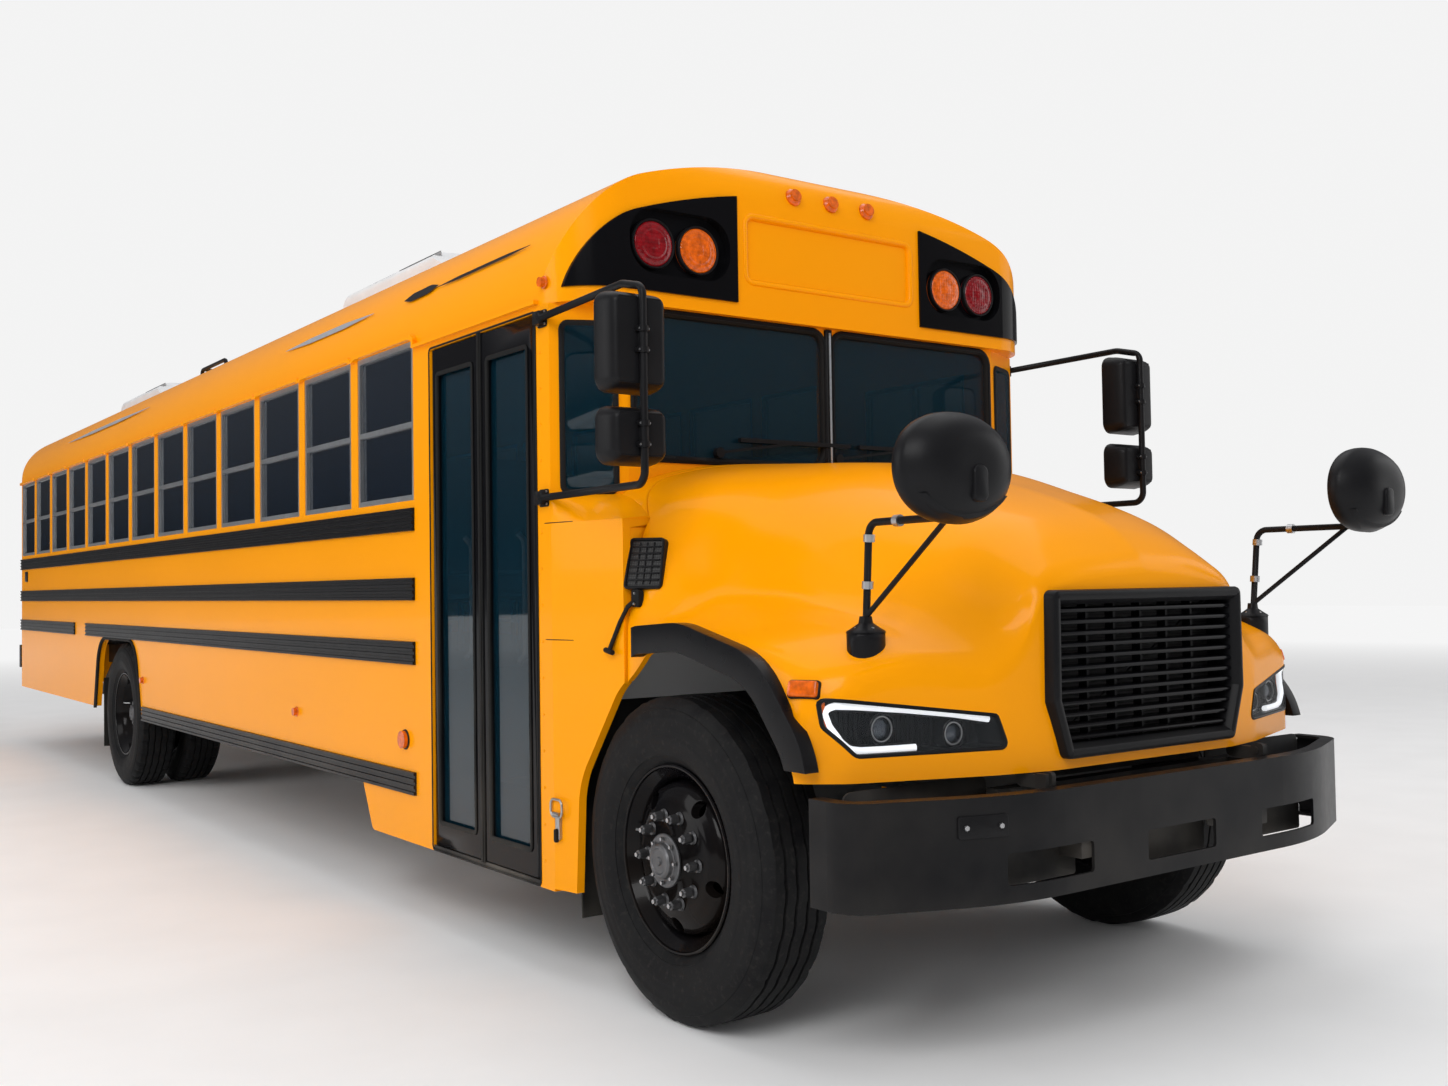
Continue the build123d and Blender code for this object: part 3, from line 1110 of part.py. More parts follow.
# ---------------------------------------------------------------- dashboard and steering wheel
dash_y = screen_y + corner_wall + play
dash_x = (-330.0, 915.0)
dash_leg = 60.0
dashboard = along_x(outline([
    (dash_y, 1330), (dash_y, 1790), (dash_y + 150, 1800, 40), (dash_y + 300, 1640, 40), (dash_y + 250, 1330, 30),
]), *dash_x)
dash_leg_face = Polygon((dash_y, floor_top + play), (dash_y, 1340), (dash_y + 200, 1340), (dash_y + 120, floor_top + play),
                        align=None)
for x in (dash_x[0] + 30, dash_x[1] - 30 - dash_leg):
    dashboard += along_x(dash_leg_face, x, x + dash_leg)
steering_at = Plane(origin=(driver_x, -4060, 1730), z_dir=(0, 0.56, 0.83))
steering_wheel = steering_at * revolve(Plane.XZ * Pos(225, 0) * RegularPolygon(16, 6), Axis.Z)
steering_wheel += steering_at * Cylinder(48, 40)
for i in range(3):
    steering_wheel += steering_at * Rot(0, 0, 120 * i + 90) * Pos(112, 0, 0) * Box(218, 30, 12)
column_way = Vector(0, 0.56, 0.83)
column = extrude(Plane(origin=Vector(driver_x, -4060, 1730) - column_way * 330, z_dir=column_way) * Circle(26), 320)
add("dashboard", dashboard, steering_wheel + column)

# ---------------------------------------------------------------- mud flaps
flap = 8.0
flap_front_y = -4500.0
flap_front = block((880, 1140), (flap_front_y, flap_front_y + flap), (225, 760))
flap_front += block((980, 1060), (flap_front_y + flap - 1, flap_front_y + flap + 6), (700, floor_top - floor_thick - play))
flap_rear_y = rear_axle_y + 700.0
flap_rear = block((600, 1165), (flap_rear_y, flap_rear_y + flap), (225, 760))
flap_rear += block((840, 920), (flap_rear_y + flap - 1, flap_rear_y + flap + 6), (700, floor_top - floor_thick - play))
add("mud_flaps", pair(flap_front), pair(flap_rear))

# ---------------------------------------------------------------- stop arm on the left side
stop_hinge = (half_width + 30, -2900.0)
stop_y = (-2860.0, -2400.0)
stop_z = (1190.0, 1650.0)
stop_cut = 135.0
stop_half = 4.0
stop_mid_z = (stop_z[0] + stop_z[1]) / 2
stop_rows = [
    (stop_y[0] + stop_cut, stop_z[0]), (stop_y[1] - stop_cut, stop_z[0]),
    (stop_y[1], stop_z[0] + stop_cut), (stop_y[1], stop_z[1] - stop_cut),
    (stop_y[1] - stop_cut, stop_z[1]), (stop_y[0] + stop_cut, stop_z[1]),
    (stop_y[0], stop_z[1] - stop_cut), (stop_y[0], stop_z[0] + stop_cut),
]
stop_x = (stop_hinge[0] - stop_half, stop_hinge[0] + stop_half)
stop_arm = along_x(outline(stop_rows), *stop_x)
stop_arm += block(stop_x, (stop_hinge[1], stop_y[0] + 5), (stop_mid_z - 60, stop_mid_z + 60))
stop_arm += rod_z(12, stop_mid_z - 60, stop_mid_z + 60, *stop_hinge)
stop_arm += rod_z(hinge_pin_r, stop_mid_z - 90, stop_mid_z + 90, *stop_hinge)
add("stop_arm", stop_arm)
for low, high in ((stop_mid_z + 60 + play, stop_bracket_z[1]), (stop_bracket_z[0], stop_mid_z - 60 - play)):
    lug = block((half_width - 1, stop_hinge[0] + 16), stop_bracket_y, (low, high))
    side_wall_left += lug - rod_z(hinge_pin_r + slip, stop_mid_z - 95, stop_mid_z + 95, *stop_hinge)
side_wall_left += block((half_width - 1, stop_hinge[0] + 16), (stop_bracket_y[0], stop_bracket_y[0] + 40), stop_bracket_z)
add("side_wall_left", side_wall_left)

# ---------------------------------------------------------------- wipers
wiper_rows = [(-560.0, -180.0), (40.0, 430.0)]  # pivot x and middle of the blade
wiper_z = 1912.0
blade_half = 280.0
wipers = []
for pivot_x, blade_x in wiper_rows:
    pivot = Vector(pivot_x, screen_y - 16, wiper_z)
    way = Vector(blade_x, screen_y - 16, wiper_z + 54) - pivot
    wiper = extrude(Plane(origin=pivot, z_dir=way) * Rectangle(10, 14), way.length)
    wiper += rod_y(20, screen_y - 24, screen_y - play, pivot_x, wiper_z)
    wiper += block((blade_x - blade_half, blade_x + blade_half), (screen_y - 20, screen_y - play), (wiper_z + 46, wiper_z + 62))
    wipers.append(wiper)
add("wipers", wipers)

# ---------------------------------------------------------------- write the pieces
os.makedirs("parts", exist_ok=True)
for name, solids in pieces.items():
    placed = [Pos(0, shift_y, 0) * solid for solid in solids]
    node = placed[0] if len(placed) == 1 else Compound(placed)
    export_step(node, f"parts/{name}.step")
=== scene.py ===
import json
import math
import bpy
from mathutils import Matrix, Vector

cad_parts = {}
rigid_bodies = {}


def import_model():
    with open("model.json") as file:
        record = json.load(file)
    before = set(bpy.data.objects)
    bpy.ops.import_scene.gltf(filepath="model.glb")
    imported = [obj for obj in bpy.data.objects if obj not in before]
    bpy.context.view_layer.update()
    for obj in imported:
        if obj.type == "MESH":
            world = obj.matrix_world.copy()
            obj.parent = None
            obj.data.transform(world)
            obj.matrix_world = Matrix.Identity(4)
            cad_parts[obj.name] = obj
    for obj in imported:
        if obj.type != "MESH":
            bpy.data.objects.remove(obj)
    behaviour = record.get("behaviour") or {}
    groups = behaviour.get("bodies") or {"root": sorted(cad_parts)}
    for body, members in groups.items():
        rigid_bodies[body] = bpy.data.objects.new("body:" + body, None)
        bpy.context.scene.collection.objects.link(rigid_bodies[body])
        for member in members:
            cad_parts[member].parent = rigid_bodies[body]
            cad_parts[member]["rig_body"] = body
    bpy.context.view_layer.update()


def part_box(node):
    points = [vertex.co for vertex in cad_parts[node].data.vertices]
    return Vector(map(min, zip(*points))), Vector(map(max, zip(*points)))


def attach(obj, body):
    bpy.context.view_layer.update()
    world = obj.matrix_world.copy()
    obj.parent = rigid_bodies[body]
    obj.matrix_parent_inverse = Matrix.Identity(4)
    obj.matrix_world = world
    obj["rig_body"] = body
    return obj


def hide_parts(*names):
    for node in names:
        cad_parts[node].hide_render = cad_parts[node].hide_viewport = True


bl_info = {
    "name": "School bus",
    "version": (1, 0, 0),
    "blender": (4, 5, 0),
    "location": "View3D > Sidebar > Bus",
    "description": "Dresses the bus frame with its finished pieces and sets the stage",
    "category": "Object",
}

import bmesh
import bpy
import numpy as np
from bpy.props import FloatProperty, FloatVectorProperty, PointerProperty
from mathutils import Matrix, Vector

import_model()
SHIFT = 58.5  # the frame's origin lies this far behind the drawing's, in millimetres
SIDES = ((-1, "right"), (1, "left"))


# ------------------------------------------------------------------ places
def at(x, y, z):
    """Point of the drawing, in millimetres, as a point of the frame in metres."""
    return Vector((x, y + SHIFT, z)) / 1000


def span(node):
    """Low and high corners of a node, in millimetres of the drawing."""
    low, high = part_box(node)
    return [Vector((p.x * 1000, p.y * 1000 - SHIFT, p.z * 1000)) for p in (low, high)]


# ------------------------------------------------------------------ shader maths
class Wire:
    """A shader socket that Python arithmetic can be written on."""

    def __init__(self, graph, socket):
        self.graph = graph
        self.socket = socket

    def maths(self, operation, *others):
        return self.graph.node("ShaderNodeMath", {"operation": operation}, [self, *others])

    def __add__(self, other):
        return self.maths("ADD", other)

    def __radd__(self, other):
        return self.graph.node("ShaderNodeMath", {"operation": "ADD"}, [other, self])

    def __sub__(self, other):
        return self.maths("SUBTRACT", other)

    def __rsub__(self, other):
        return self.graph.node("ShaderNodeMath", {"operation": "SUBTRACT"}, [other, self])

    def __mul__(self, other):
        return self.maths("MULTIPLY", other)

    def __rmul__(self, other):
        return self.graph.node("ShaderNodeMath", {"operation": "MULTIPLY"}, [other, self])

    def __truediv__(self, other):
        return self.maths("DIVIDE", other)

    def __rtruediv__(self, other):
        return self.graph.node("ShaderNodeMath", {"operation": "DIVIDE"}, [other, self])

    def __pow__(self, other):
        return self.maths("POWER", other)

    def ramp(self, low, high):
        """0 below low, 1 above high and a straight rise between."""
        settings = {"clamp": True}
        return self.graph.node("ShaderNodeMapRange", settings, [self, low, high, 0.0, 1.0])

    def fraction(self):
        return self.maths("FRACT")

    def size(self):
        return self.maths("ABSOLUTE")


class Graph:
    """Node tree of one material."""

    def __init__(self, name):
        self.material = bpy.data.materials.new(name)
        self.material.use_nodes = True
        self.tree = self.material.node_tree
        self.tree.nodes.clear()
        self.where = self.node("ShaderNodeTexCoord", {}, {}, "Object")
        parts = self.tree.nodes.new("ShaderNodeSeparateXYZ")
        self.tree.links.new(self.where.socket, parts.inputs[0])
        self.x, self.y, self.z = [Wire(self, out) for out in parts.outputs]

    def node(self, kind, settings, values, output=0):
        """Adds a node: its settings first, then values or wires for its sockets."""
        made = self.tree.nodes.new(kind)
        for key, value in settings.items():
            setattr(made, key, value)
        pairs = values.items() if isinstance(values, dict) else enumerate(values)
        for key, value in pairs:
            if isinstance(value, Wire):
                self.tree.links.new(value.socket, made.inputs[key])
            else:
                made.inputs[key].default_value = value
        return Wire(self, made.outputs[output])

    def noise(self, scale, detail=3.0, stretch=None):
        """Noise between 0 and 1 on object coordinates, scale in lumps a metre."""
        where = self.where
        if stretch:
            where = self.node("ShaderNodeVectorMath", {"operation": "MULTIPLY"}, [where, stretch])
        return self.node("ShaderNodeTexNoise", {}, {"Vector": where, "Scale": scale, "Detail": detail})

    def blend(self, share, first, second):
        """Colour that goes from first to second as share goes from 0 to 1."""
        made = self.tree.nodes.new("ShaderNodeMix")
        made.data_type = "RGBA"
        for index, value in ((0, share), (6, first), (7, second)):
            if isinstance(value, Wire):
                self.tree.links.new(value.socket, made.inputs[index])
            else:
                made.inputs[index].default_value = value if index == 0 else (*value[:3], 1.0)
        return Wire(self, made.outputs[2])

    def bump(self, height, strength, distance):
        return self.node("ShaderNodeBump", {}, {"Height": height, "Strength": strength, "Distance": distance},
                         "Normal")

    def done(self, values, glass=False):
        """Closes the tree with one surface shader."""
        shader = self.node("ShaderNodeBsdfPrincipled", {}, values, "BSDF")
        out = self.tree.nodes.new("ShaderNodeOutputMaterial")
        self.tree.links.new(shader.socket, out.inputs["Surface"])
        if glass:
            self.material.surface_render_method = "BLENDED"
        return self.material


def dust(graph, low, high):
    """Share of road dust, thicker towards the ground."""
    rise = 1.0 - graph.z.ramp(low, high)
    return rise * graph.noise(3.0, 6.0).ramp(0.35, 0.75)


def body_paint(name, color, roughness, dusty=0.04):
    """Enamel with a clear coat: faint orange peel, and a little dust low down."""
    graph = Graph(name)
    drift = graph.noise(0.7, 2.0).ramp(0.3, 0.7)
    darker = tuple(c * 0.93 for c in color)
    base = graph.blend(drift * 0.5, color, darker)
    film = dust(graph, 0.35, 1.3) * dusty
    base = graph.blend(film, base, (0.34, 0.20, 0.07))
    peel = graph.noise(260.0, 2.0)
    rough = roughness + film * 0.6 + graph.noise(9.0, 4.0) * 0.05
    values = {"Base Color": base, "Roughness": rough, "Coat Weight": 0.10, "Coat Roughness": 0.05,
              "Specular IOR Level": 0.07}
    values["Normal"] = graph.bump(peel, 0.04, 0.002)
    return graph.done(values)


def plastic(name, color, roughness, grain=0.12, scale=700.0, dusty=0.06):
    """Moulded plastic with a fine grain that scatters the light."""
    graph = Graph(name)
    film = dust(graph, 0.2, 1.2) * dusty
    tone = graph.noise(6.0, 4.0).ramp(0.3, 0.8) * 0.35
    base = graph.blend(tone, color, tuple(min(c * 1.5 + 0.004, 1.0) for c in color))
    base = graph.blend(film, base, (0.26, 0.23, 0.19))
    values = {"Base Color": base, "Roughness": roughness + graph.noise(22.0, 3.0) * 0.10,
              "Specular IOR Level": 0.14}
    values["Normal"] = graph.bump(graph.noise(scale, 2.0), grain, 0.001)
    return graph.done(values)


def tyre_rubber(name):
    """Rubber: dark flanks, greyer where the road wears it."""
    graph = Graph(name)
    mottled = graph.noise(14.0, 6.0).ramp(0.25, 0.8)
    base = graph.blend(mottled, (0.006, 0.006, 0.007), (0.015, 0.015, 0.015))
    base = graph.blend(graph.noise(60.0, 5.0).ramp(0.55, 0.8) * 0.35, base, (0.05, 0.045, 0.04))
    values = {"Base Color": base, "Roughness": 0.5 + mottled * 0.16, "Specular IOR Level": 0.1}
    values["Normal"] = graph.bump(graph.noise(420.0, 3.0), 0.25, 0.0015)
    return graph.done(values)


def metal(name, color, roughness, stretch=(1.0, 1.0, 1.0), wear=0.25):
    """Bare or anodised metal with fine brushing and a few dull spots."""
    graph = Graph(name)
    brushed = graph.noise(180.0, 3.0, stretch)
    spots = graph.noise(20.0, 5.0).ramp(0.5, 0.85)
    base = graph.blend(spots * wear, color, tuple(c * 0.45 for c in color))
    values = {"Base Color": base, "Metallic": 1.0,
              "Roughness": roughness + brushed * 0.12 + spots * wear * 0.5}
    values["Normal"] = graph.bump(brushed, 0.06, 0.001)
    return graph.done(values)


def tinted_glass(name, color, alpha):
    """Window glass: dark tint, a hard gloss and faint waves."""
    graph = Graph(name)
    haze = graph.noise(2.5, 3.0).ramp(0.3, 0.8)
    values = {
        "Base Color": graph.blend(haze * 0.4, color, tuple(c * 0.6 for c in color)),
        "Roughness": 0.02 + haze * 0.015,
        "IOR": 1.52,
        "Alpha": alpha,
        "Specular IOR Level": 0.85,
    }
    values["Normal"] = graph.bump(graph.noise(1.6, 1.0), 0.03, 0.02)
    return graph.done(values, glass=True)


def lens(name, color, glow, pitch=70.0):
    """Moulded lamp lens: prisms in a grid, clear coat and a faint light of its own."""
    graph = Graph(name)
    grid = ((graph.x * pitch).fraction() - 0.5).size() + ((graph.z * pitch).fraction() - 0.5).size()
    cells = graph.noise(45.0, 2.0)
    base = graph.blend(cells.ramp(0.35, 0.7) * 0.7, color, tuple(c * 0.35 for c in color))
    values = {
        "Base Color": base,
        "Roughness": 0.10 + cells * 0.08,
        "Coat Weight": 0.3,
        "Coat Roughness": 0.03,
        "Specular IOR Level": 0.3,
        "Emission Color": base,
        "Emission Strength": glow,
    }
    values["Normal"] = graph.bump(grid, 0.5, 0.002)
    return graph.done(values)


def seat_vinyl(name):
    """Coated cloth with a leathery grain."""
    graph = Graph(name)
    grain = graph.node("ShaderNodeTexVoronoi", {"feature": "DISTANCE_TO_EDGE"},
                       {"Vector": graph.where, "Scale": 420.0})
    tone = graph.noise(5.0, 4.0).ramp(0.3, 0.8)
    values = {"Base Color": graph.blend(tone, (0.020, 0.035, 0.070), (0.035, 0.055, 0.100)),
              "Roughness": 0.48 + tone * 0.1}
    values["Normal"] = graph.bump(grain.ramp(0.0, 0.12), 0.3, 0.001)
    return graph.done(values)


def floor_cover(name):
    """Ribbed rubber along the aisle."""
    graph = Graph(name)
    ribs = ((graph.x * 40.0).fraction() - 0.5).size().ramp(0.15, 0.35)
    tone = graph.noise(8.0, 5.0).ramp(0.3, 0.8)
    values = {"Base Color": graph.blend(tone, (0.045, 0.046, 0.048), (0.085, 0.083, 0.080)),
              "Roughness": 0.7 + tone * 0.1}
    values["Normal"] = graph.bump(ribs, 0.5, 0.002)
    return graph.done(values)


def mirror_face(name):
    """Silvered glass with faint smears."""
    graph = Graph(name)
    smear = graph.noise(7.0, 4.0).ramp(0.5, 0.9)
    values = {"Base Color": graph.blend(smear * 0.3, (0.85, 0.87, 0.88), (0.6, 0.62, 0.63)), "Metallic": 1.0}
    values["Roughness"] = 0.02 + smear * 0.05
    return graph.done(values)


def light_tube(name):
    """Glowing tube of the headlamp."""
    graph = Graph(name)
    along = graph.noise(30.0, 2.0).ramp(0.2, 0.8)
    base = graph.blend(along, (0.86, 0.90, 0.95), (0.97, 0.98, 1.0))
    return graph.done({"Base Color": base, "Roughness": 0.25, "Emission Color": base,
                       "Emission Strength": 0.75})


def mesh_vent(name):
    """Dark woven mesh."""
    graph = Graph(name)
    weave = ((graph.y * 110.0).fraction() - 0.5).size() * ((graph.z * 110.0).fraction() - 0.5).size()
    values = {"Base Color": graph.blend(weave.ramp(0.02, 0.12), (0.004, 0.004, 0.004), (0.03, 0.03, 0.03)),
              "Roughness": 0.55}
    values["Normal"] = graph.bump(weave, 0.8, 0.002)
    return graph.done(values)


MATERIALS = {}


def finishes(looks):
    """Makes every finish once, from the colours that the panel holds."""
    yellow = tuple(looks.body_color)
    black = tuple(looks.trim_color)
    MATERIALS.update({
        "yellow": body_paint("yellow enamel", yellow, looks.paint_roughness),
        "gloss": body_paint("black enamel", black, 0.14, 0.02),
        "satin": plastic("black moulded plastic", (0.007, 0.007, 0.008), 0.34),
        "flare": plastic("gloss moulded plastic", (0.005, 0.005, 0.006), 0.24, 0.05, 600.0, 0.03),
        "rail": plastic("black rail paint", (0.006, 0.006, 0.007), 0.26, 0.06, 300.0, 0.14),
        "bumper": plastic("black powder coat", (0.006, 0.006, 0.007), 0.30, 0.10, 900.0, 0.10),
        "tyre": tyre_rubber("tyre rubber"),
        "rubber": plastic("seal rubber", (0.009, 0.009, 0.009), 0.62, 0.2, 500.0, 0.2),
        "chassis": plastic("chassis paint", (0.012, 0.012, 0.013), 0.5, 0.2, 160.0, 0.5),
        "iron": metal("cast iron", (0.10, 0.10, 0.10), 0.55, wear=0.6),
        "steel": metal("bright steel", (0.46, 0.46, 0.47), 0.28),
        "hub": metal("grey hub steel", (0.16, 0.16, 0.165), 0.42, wear=0.5),
        "sash": metal("anodised sash", (0.50, 0.52, 0.54), 0.30, (1.0, 0.15, 1.0)),
        "glass": tinted_glass("tinted side glass", (0.004, 0.010, 0.020), 0.88),
        "screen": tinted_glass("windshield glass", (0.003, 0.024, 0.040), 0.60),
        "clear": tinted_glass("clear lamp cover", (0.05, 0.06, 0.07), 0.10),
        "red": lens("red lens", (0.22, 0.003, 0.007), 0.10),
        "amber": lens("amber lens", (0.72, 0.12, 0.003), 0.16),
        "white": plastic("white moulded plastic", (0.72, 0.73, 0.74), 0.32, 0.04, 300.0, 0.02),
        "grey": plastic("grey moulded plastic", (0.30, 0.31, 0.32), 0.45, 0.1, 300.0, 0.02),
        "vinyl": seat_vinyl("seat vinyl"),
        "floor": floor_cover("ribbed floor rubber"),
        "mirror": mirror_face("mirror glass"),
        "tube": light_tube("light tube"),
        "vent": mesh_vent("vent mesh"),
        "sign": body_paint("red enamel", (0.42, 0.008, 0.012), 0.28),
        "projector": tinted_glass("projector lens", (0.10, 0.12, 0.15), 0.75),
    })


# ------------------------------------------------------------------ mesh helpers
# Frames for a slab: origin, along, up and out
FRONT_AXES = ((0, 0, 0), (1, 0, 0), (0, 0, 1), (0, -1, 0))
REAR_AXES = ((0, 0, 0), (1, 0, 0), (0, 0, 1), (0, 1, 0))
TOP_AXES = ((0, 0, 0), (1, 0, 0), (0, 1, 0), (0, 0, 1))


def side_axes(side):
    """Frame for a slab on one side of the bus."""
    return ((0, 0, 0), (0, 1, 0), (0, 0, 1), (side, 0, 0))


class Body:
    """Gathers faces in millimetres of the drawing and makes one object of them."""

    def __init__(self):
        self.points = []
        self.faces = []

    def add(self, points, faces):
        start = len(self.points)
        self.points += [tuple(p) for p in points]
        self.faces += [[start + i for i in face] for face in faces]
        return self

    def grid(self, rows, closed_rows=False, closed_columns=False):
        """Sheet of quads over rows of points."""
        high, wide = len(rows), len(rows[0])
        faces = []
        for i in range(high - (0 if closed_rows else 1)):
            for j in range(wide - (0 if closed_columns else 1)):
                a, b = i, (i + 1) % high
                c, d = j, (j + 1) % wide
                faces.append((a * wide + c, a * wide + d, b * wide + d, b * wide + c))
        return self.add([p for row in rows for p in row], faces)

    def loft(self, rows):
        """Closed sections joined in order, with both ends shut."""
        start, wide = len(self.points), len(rows[0])
        self.grid(rows, closed_columns=True)
        end = start + (len(rows) - 1) * wide
        self.faces += [[start + k for k in reversed(range(wide))], [end + k for k in range(wide)]]
        return self

    def tube(self, path, radius, sides=12, caps=True, flat=1.0):
        """Round rod along a path of points."""
        path = [Vector(p) for p in path]
        rows = []
        side = None
        for i, p in enumerate(path):
            way = (path[min(i + 1, len(path) - 1)] - path[max(i - 1, 0)]).normalized()
            if side is None:
                side = way.orthogonal().normalized()
            side = (side - way * side.dot(way)).normalized()
            up = way.cross(side)
            turns = [2 * math.pi * k / sides for k in range(sides)]
            rows.append([p + side * math.cos(t) * radius + up * math.sin(t) * radius * flat for t in turns])
        return self.loft(rows) if caps else self.grid(rows, closed_columns=True)

    def lathe(self, rows, centre, axis, turns=64):
        """Closed profile of (along, radius) turned about an axis through centre."""
        axis = Vector(axis).normalized()
        side = axis.orthogonal().normalized()
        up = axis.cross(side)
        centre = Vector(centre)
        rings = []
        for k in range(turns):
            t = 2 * math.pi * k / turns
            out = side * math.cos(t) + up * math.sin(t)
            rings.append([centre + axis * a + out * r for a, r in rows])
        return self.grid(rings, closed_rows=True, closed_columns=True)

    def dome(self, profile, centre, axis, turns=32):
        """Open profile of (along, radius) from rim to tip, turned and shut at its base."""
        rows = [(profile[0][0], 0.001), *profile[:-1], (profile[-1][0], 0.001)]
        return self.lathe(rows, centre, axis, turns)

    def slab(self, outline, frame_axes, low, high, bevel=0.0):
        """Outline of (a, b) raised from low to high, its far edge drawn in by bevel."""
        origin, along, up, out = [Vector(v) for v in frame_axes]
        ring = [Vector((a, b)) for a, b in outline]
        centre = sum(ring, Vector((0, 0))) / len(ring)

        def level(inset, depth):
            row = []
            for p in ring:
                q = p if inset == 0 else p + (centre - p).normalized() * inset
                row.append(origin + along * q.x + up * q.y + out * depth)
            return row
        levels = [level(0, low), level(0, high - bevel)]
        if bevel:
            for turn in (0.3, 0.6, 1.0):
                t = turn * math.pi / 2
                levels.append(level(bevel * (1 - math.cos(t)), high - bevel + bevel * math.sin(t)))
        return self.loft(levels)

    def make(self, name, finish, body, slot=None, replaces=(), angle=35):
        """The finished object, riding on its body."""
        mesh = bpy.data.meshes.new(name)
        mesh.from_pydata([at(*p) for p in self.points], [], self.faces)
        return finished(mesh, name, finish, body, replaces, angle)


def linked(name, data):
    """New object in the scene."""
    made = bpy.data.objects.new(name, data)
    bpy.context.scene.collection.objects.link(made)
    return made


def smooth(made, angle):
    """Smooth shading, with edges sharper than angle kept."""
    made.data.shade_smooth()
    made.data.set_sharp_from_angle(angle=math.radians(angle))


def finished(mesh, name, finish, body, replaces=(), angle=35):
    """Object of a clean mesh with its finish and body."""
    work = bmesh.new()
    work.from_mesh(mesh)
    bmesh.ops.remove_doubles(work, verts=work.verts, dist=1e-6)
    bmesh.ops.dissolve_degenerate(work, dist=1e-7, edges=work.edges)
    bmesh.ops.recalc_face_normals(work, faces=work.faces)
    work.to_mesh(mesh)
    work.free()
    made = linked(name, mesh)
    smooth(made, angle)
    for one in [finish] if isinstance(finish, str) else finish:
        mesh.materials.append(MATERIALS[one])
    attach(made, body)
    if replaces:
        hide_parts(*replaces)
    return made


def cut(target, *tools, operation="DIFFERENCE"):
    """Boolean of target with other objects, which are then removed."""
    for tool in tools:
        step = target.modifiers.new("cut", "BOOLEAN")
        step.operation = operation
        step.solver = "MANIFOLD"
        step.object = tool
        settle(target)
        bpy.data.objects.remove(tool)


def settle(made):
    """Turns the modifiers of an object into plain mesh."""
    graph = bpy.context.evaluated_depsgraph_get()
    graph.update()
    mesh = bpy.data.meshes.new_from_object(made.evaluated_get(graph))
    made.modifiers.clear()
    old = made.data
    made.data = mesh
    bpy.data.meshes.remove(old)


def rounded_ring(low_a, high_a, low_b, high_b, radius, steps=6):
    """Rectangle with round corners, as points in order."""
    ring = []
    corners = [(high_a, high_b, 0), (low_a, high_b, 1), (low_a, low_b, 2), (high_a, low_b, 3)]
    for a, b, quarter in corners:
        centre_a = a - radius if quarter in (0, 3) else a + radius
        centre_b = b - radius if quarter in (0, 1) else b + radius
        for k in range(steps + 1):
            t = math.pi / 2 * (quarter + k / steps)
            ring.append((centre_a + radius * math.cos(t), centre_b + radius * math.sin(t)))
    return ring


def oval_ring(a, b, half_a, half_b, power=2.0, steps=48):
    """Oval, squarer as power grows."""
    ring = []
    for k in range(steps):
        t = 2 * math.pi * k / steps
        c, s = math.cos(t), math.sin(t)
        ring.append((a + half_a * math.copysign(abs(c) ** (2 / power), c),
                     b + half_b * math.copysign(abs(s) ** (2 / power), s)))
    return ring


def smooth_curve(knots, values, places):
    """Smooth line through knots without overshoot."""
    knots, values = np.asarray(knots, float), np.asarray(values, float)
    step = np.diff(knots)
    slope = np.diff(values) / step
    tangent = np.zeros(len(knots))
    for i in range(1, len(knots) - 1):
        if slope[i - 1] * slope[i] > 0:
            w1, w2 = 2 * step[i] + step[i - 1], step[i] + 2 * step[i - 1]
            tangent[i] = (w1 + w2) / (w1 / slope[i - 1] + w2 / slope[i])
    tangent[0], tangent[-1] = slope[0], slope[-1]
    places = np.clip(places, knots[0], knots[-1])
    index = np.clip(np.searchsorted(knots, places) - 1, 0, len(step) - 1)
    h = step[index]
    t = (places - knots[index]) / h
    h00, h10 = 2 * t ** 3 - 3 * t ** 2 + 1, t ** 3 - 2 * t ** 2 + t
    h01, h11 = -2 * t ** 3 + 3 * t ** 2, t ** 3 - t ** 2
    start, end = values[index], values[index + 1]
    return h00 * start + h10 * h * tangent[index] + h01 * end + h11 * h * tangent[index + 1]


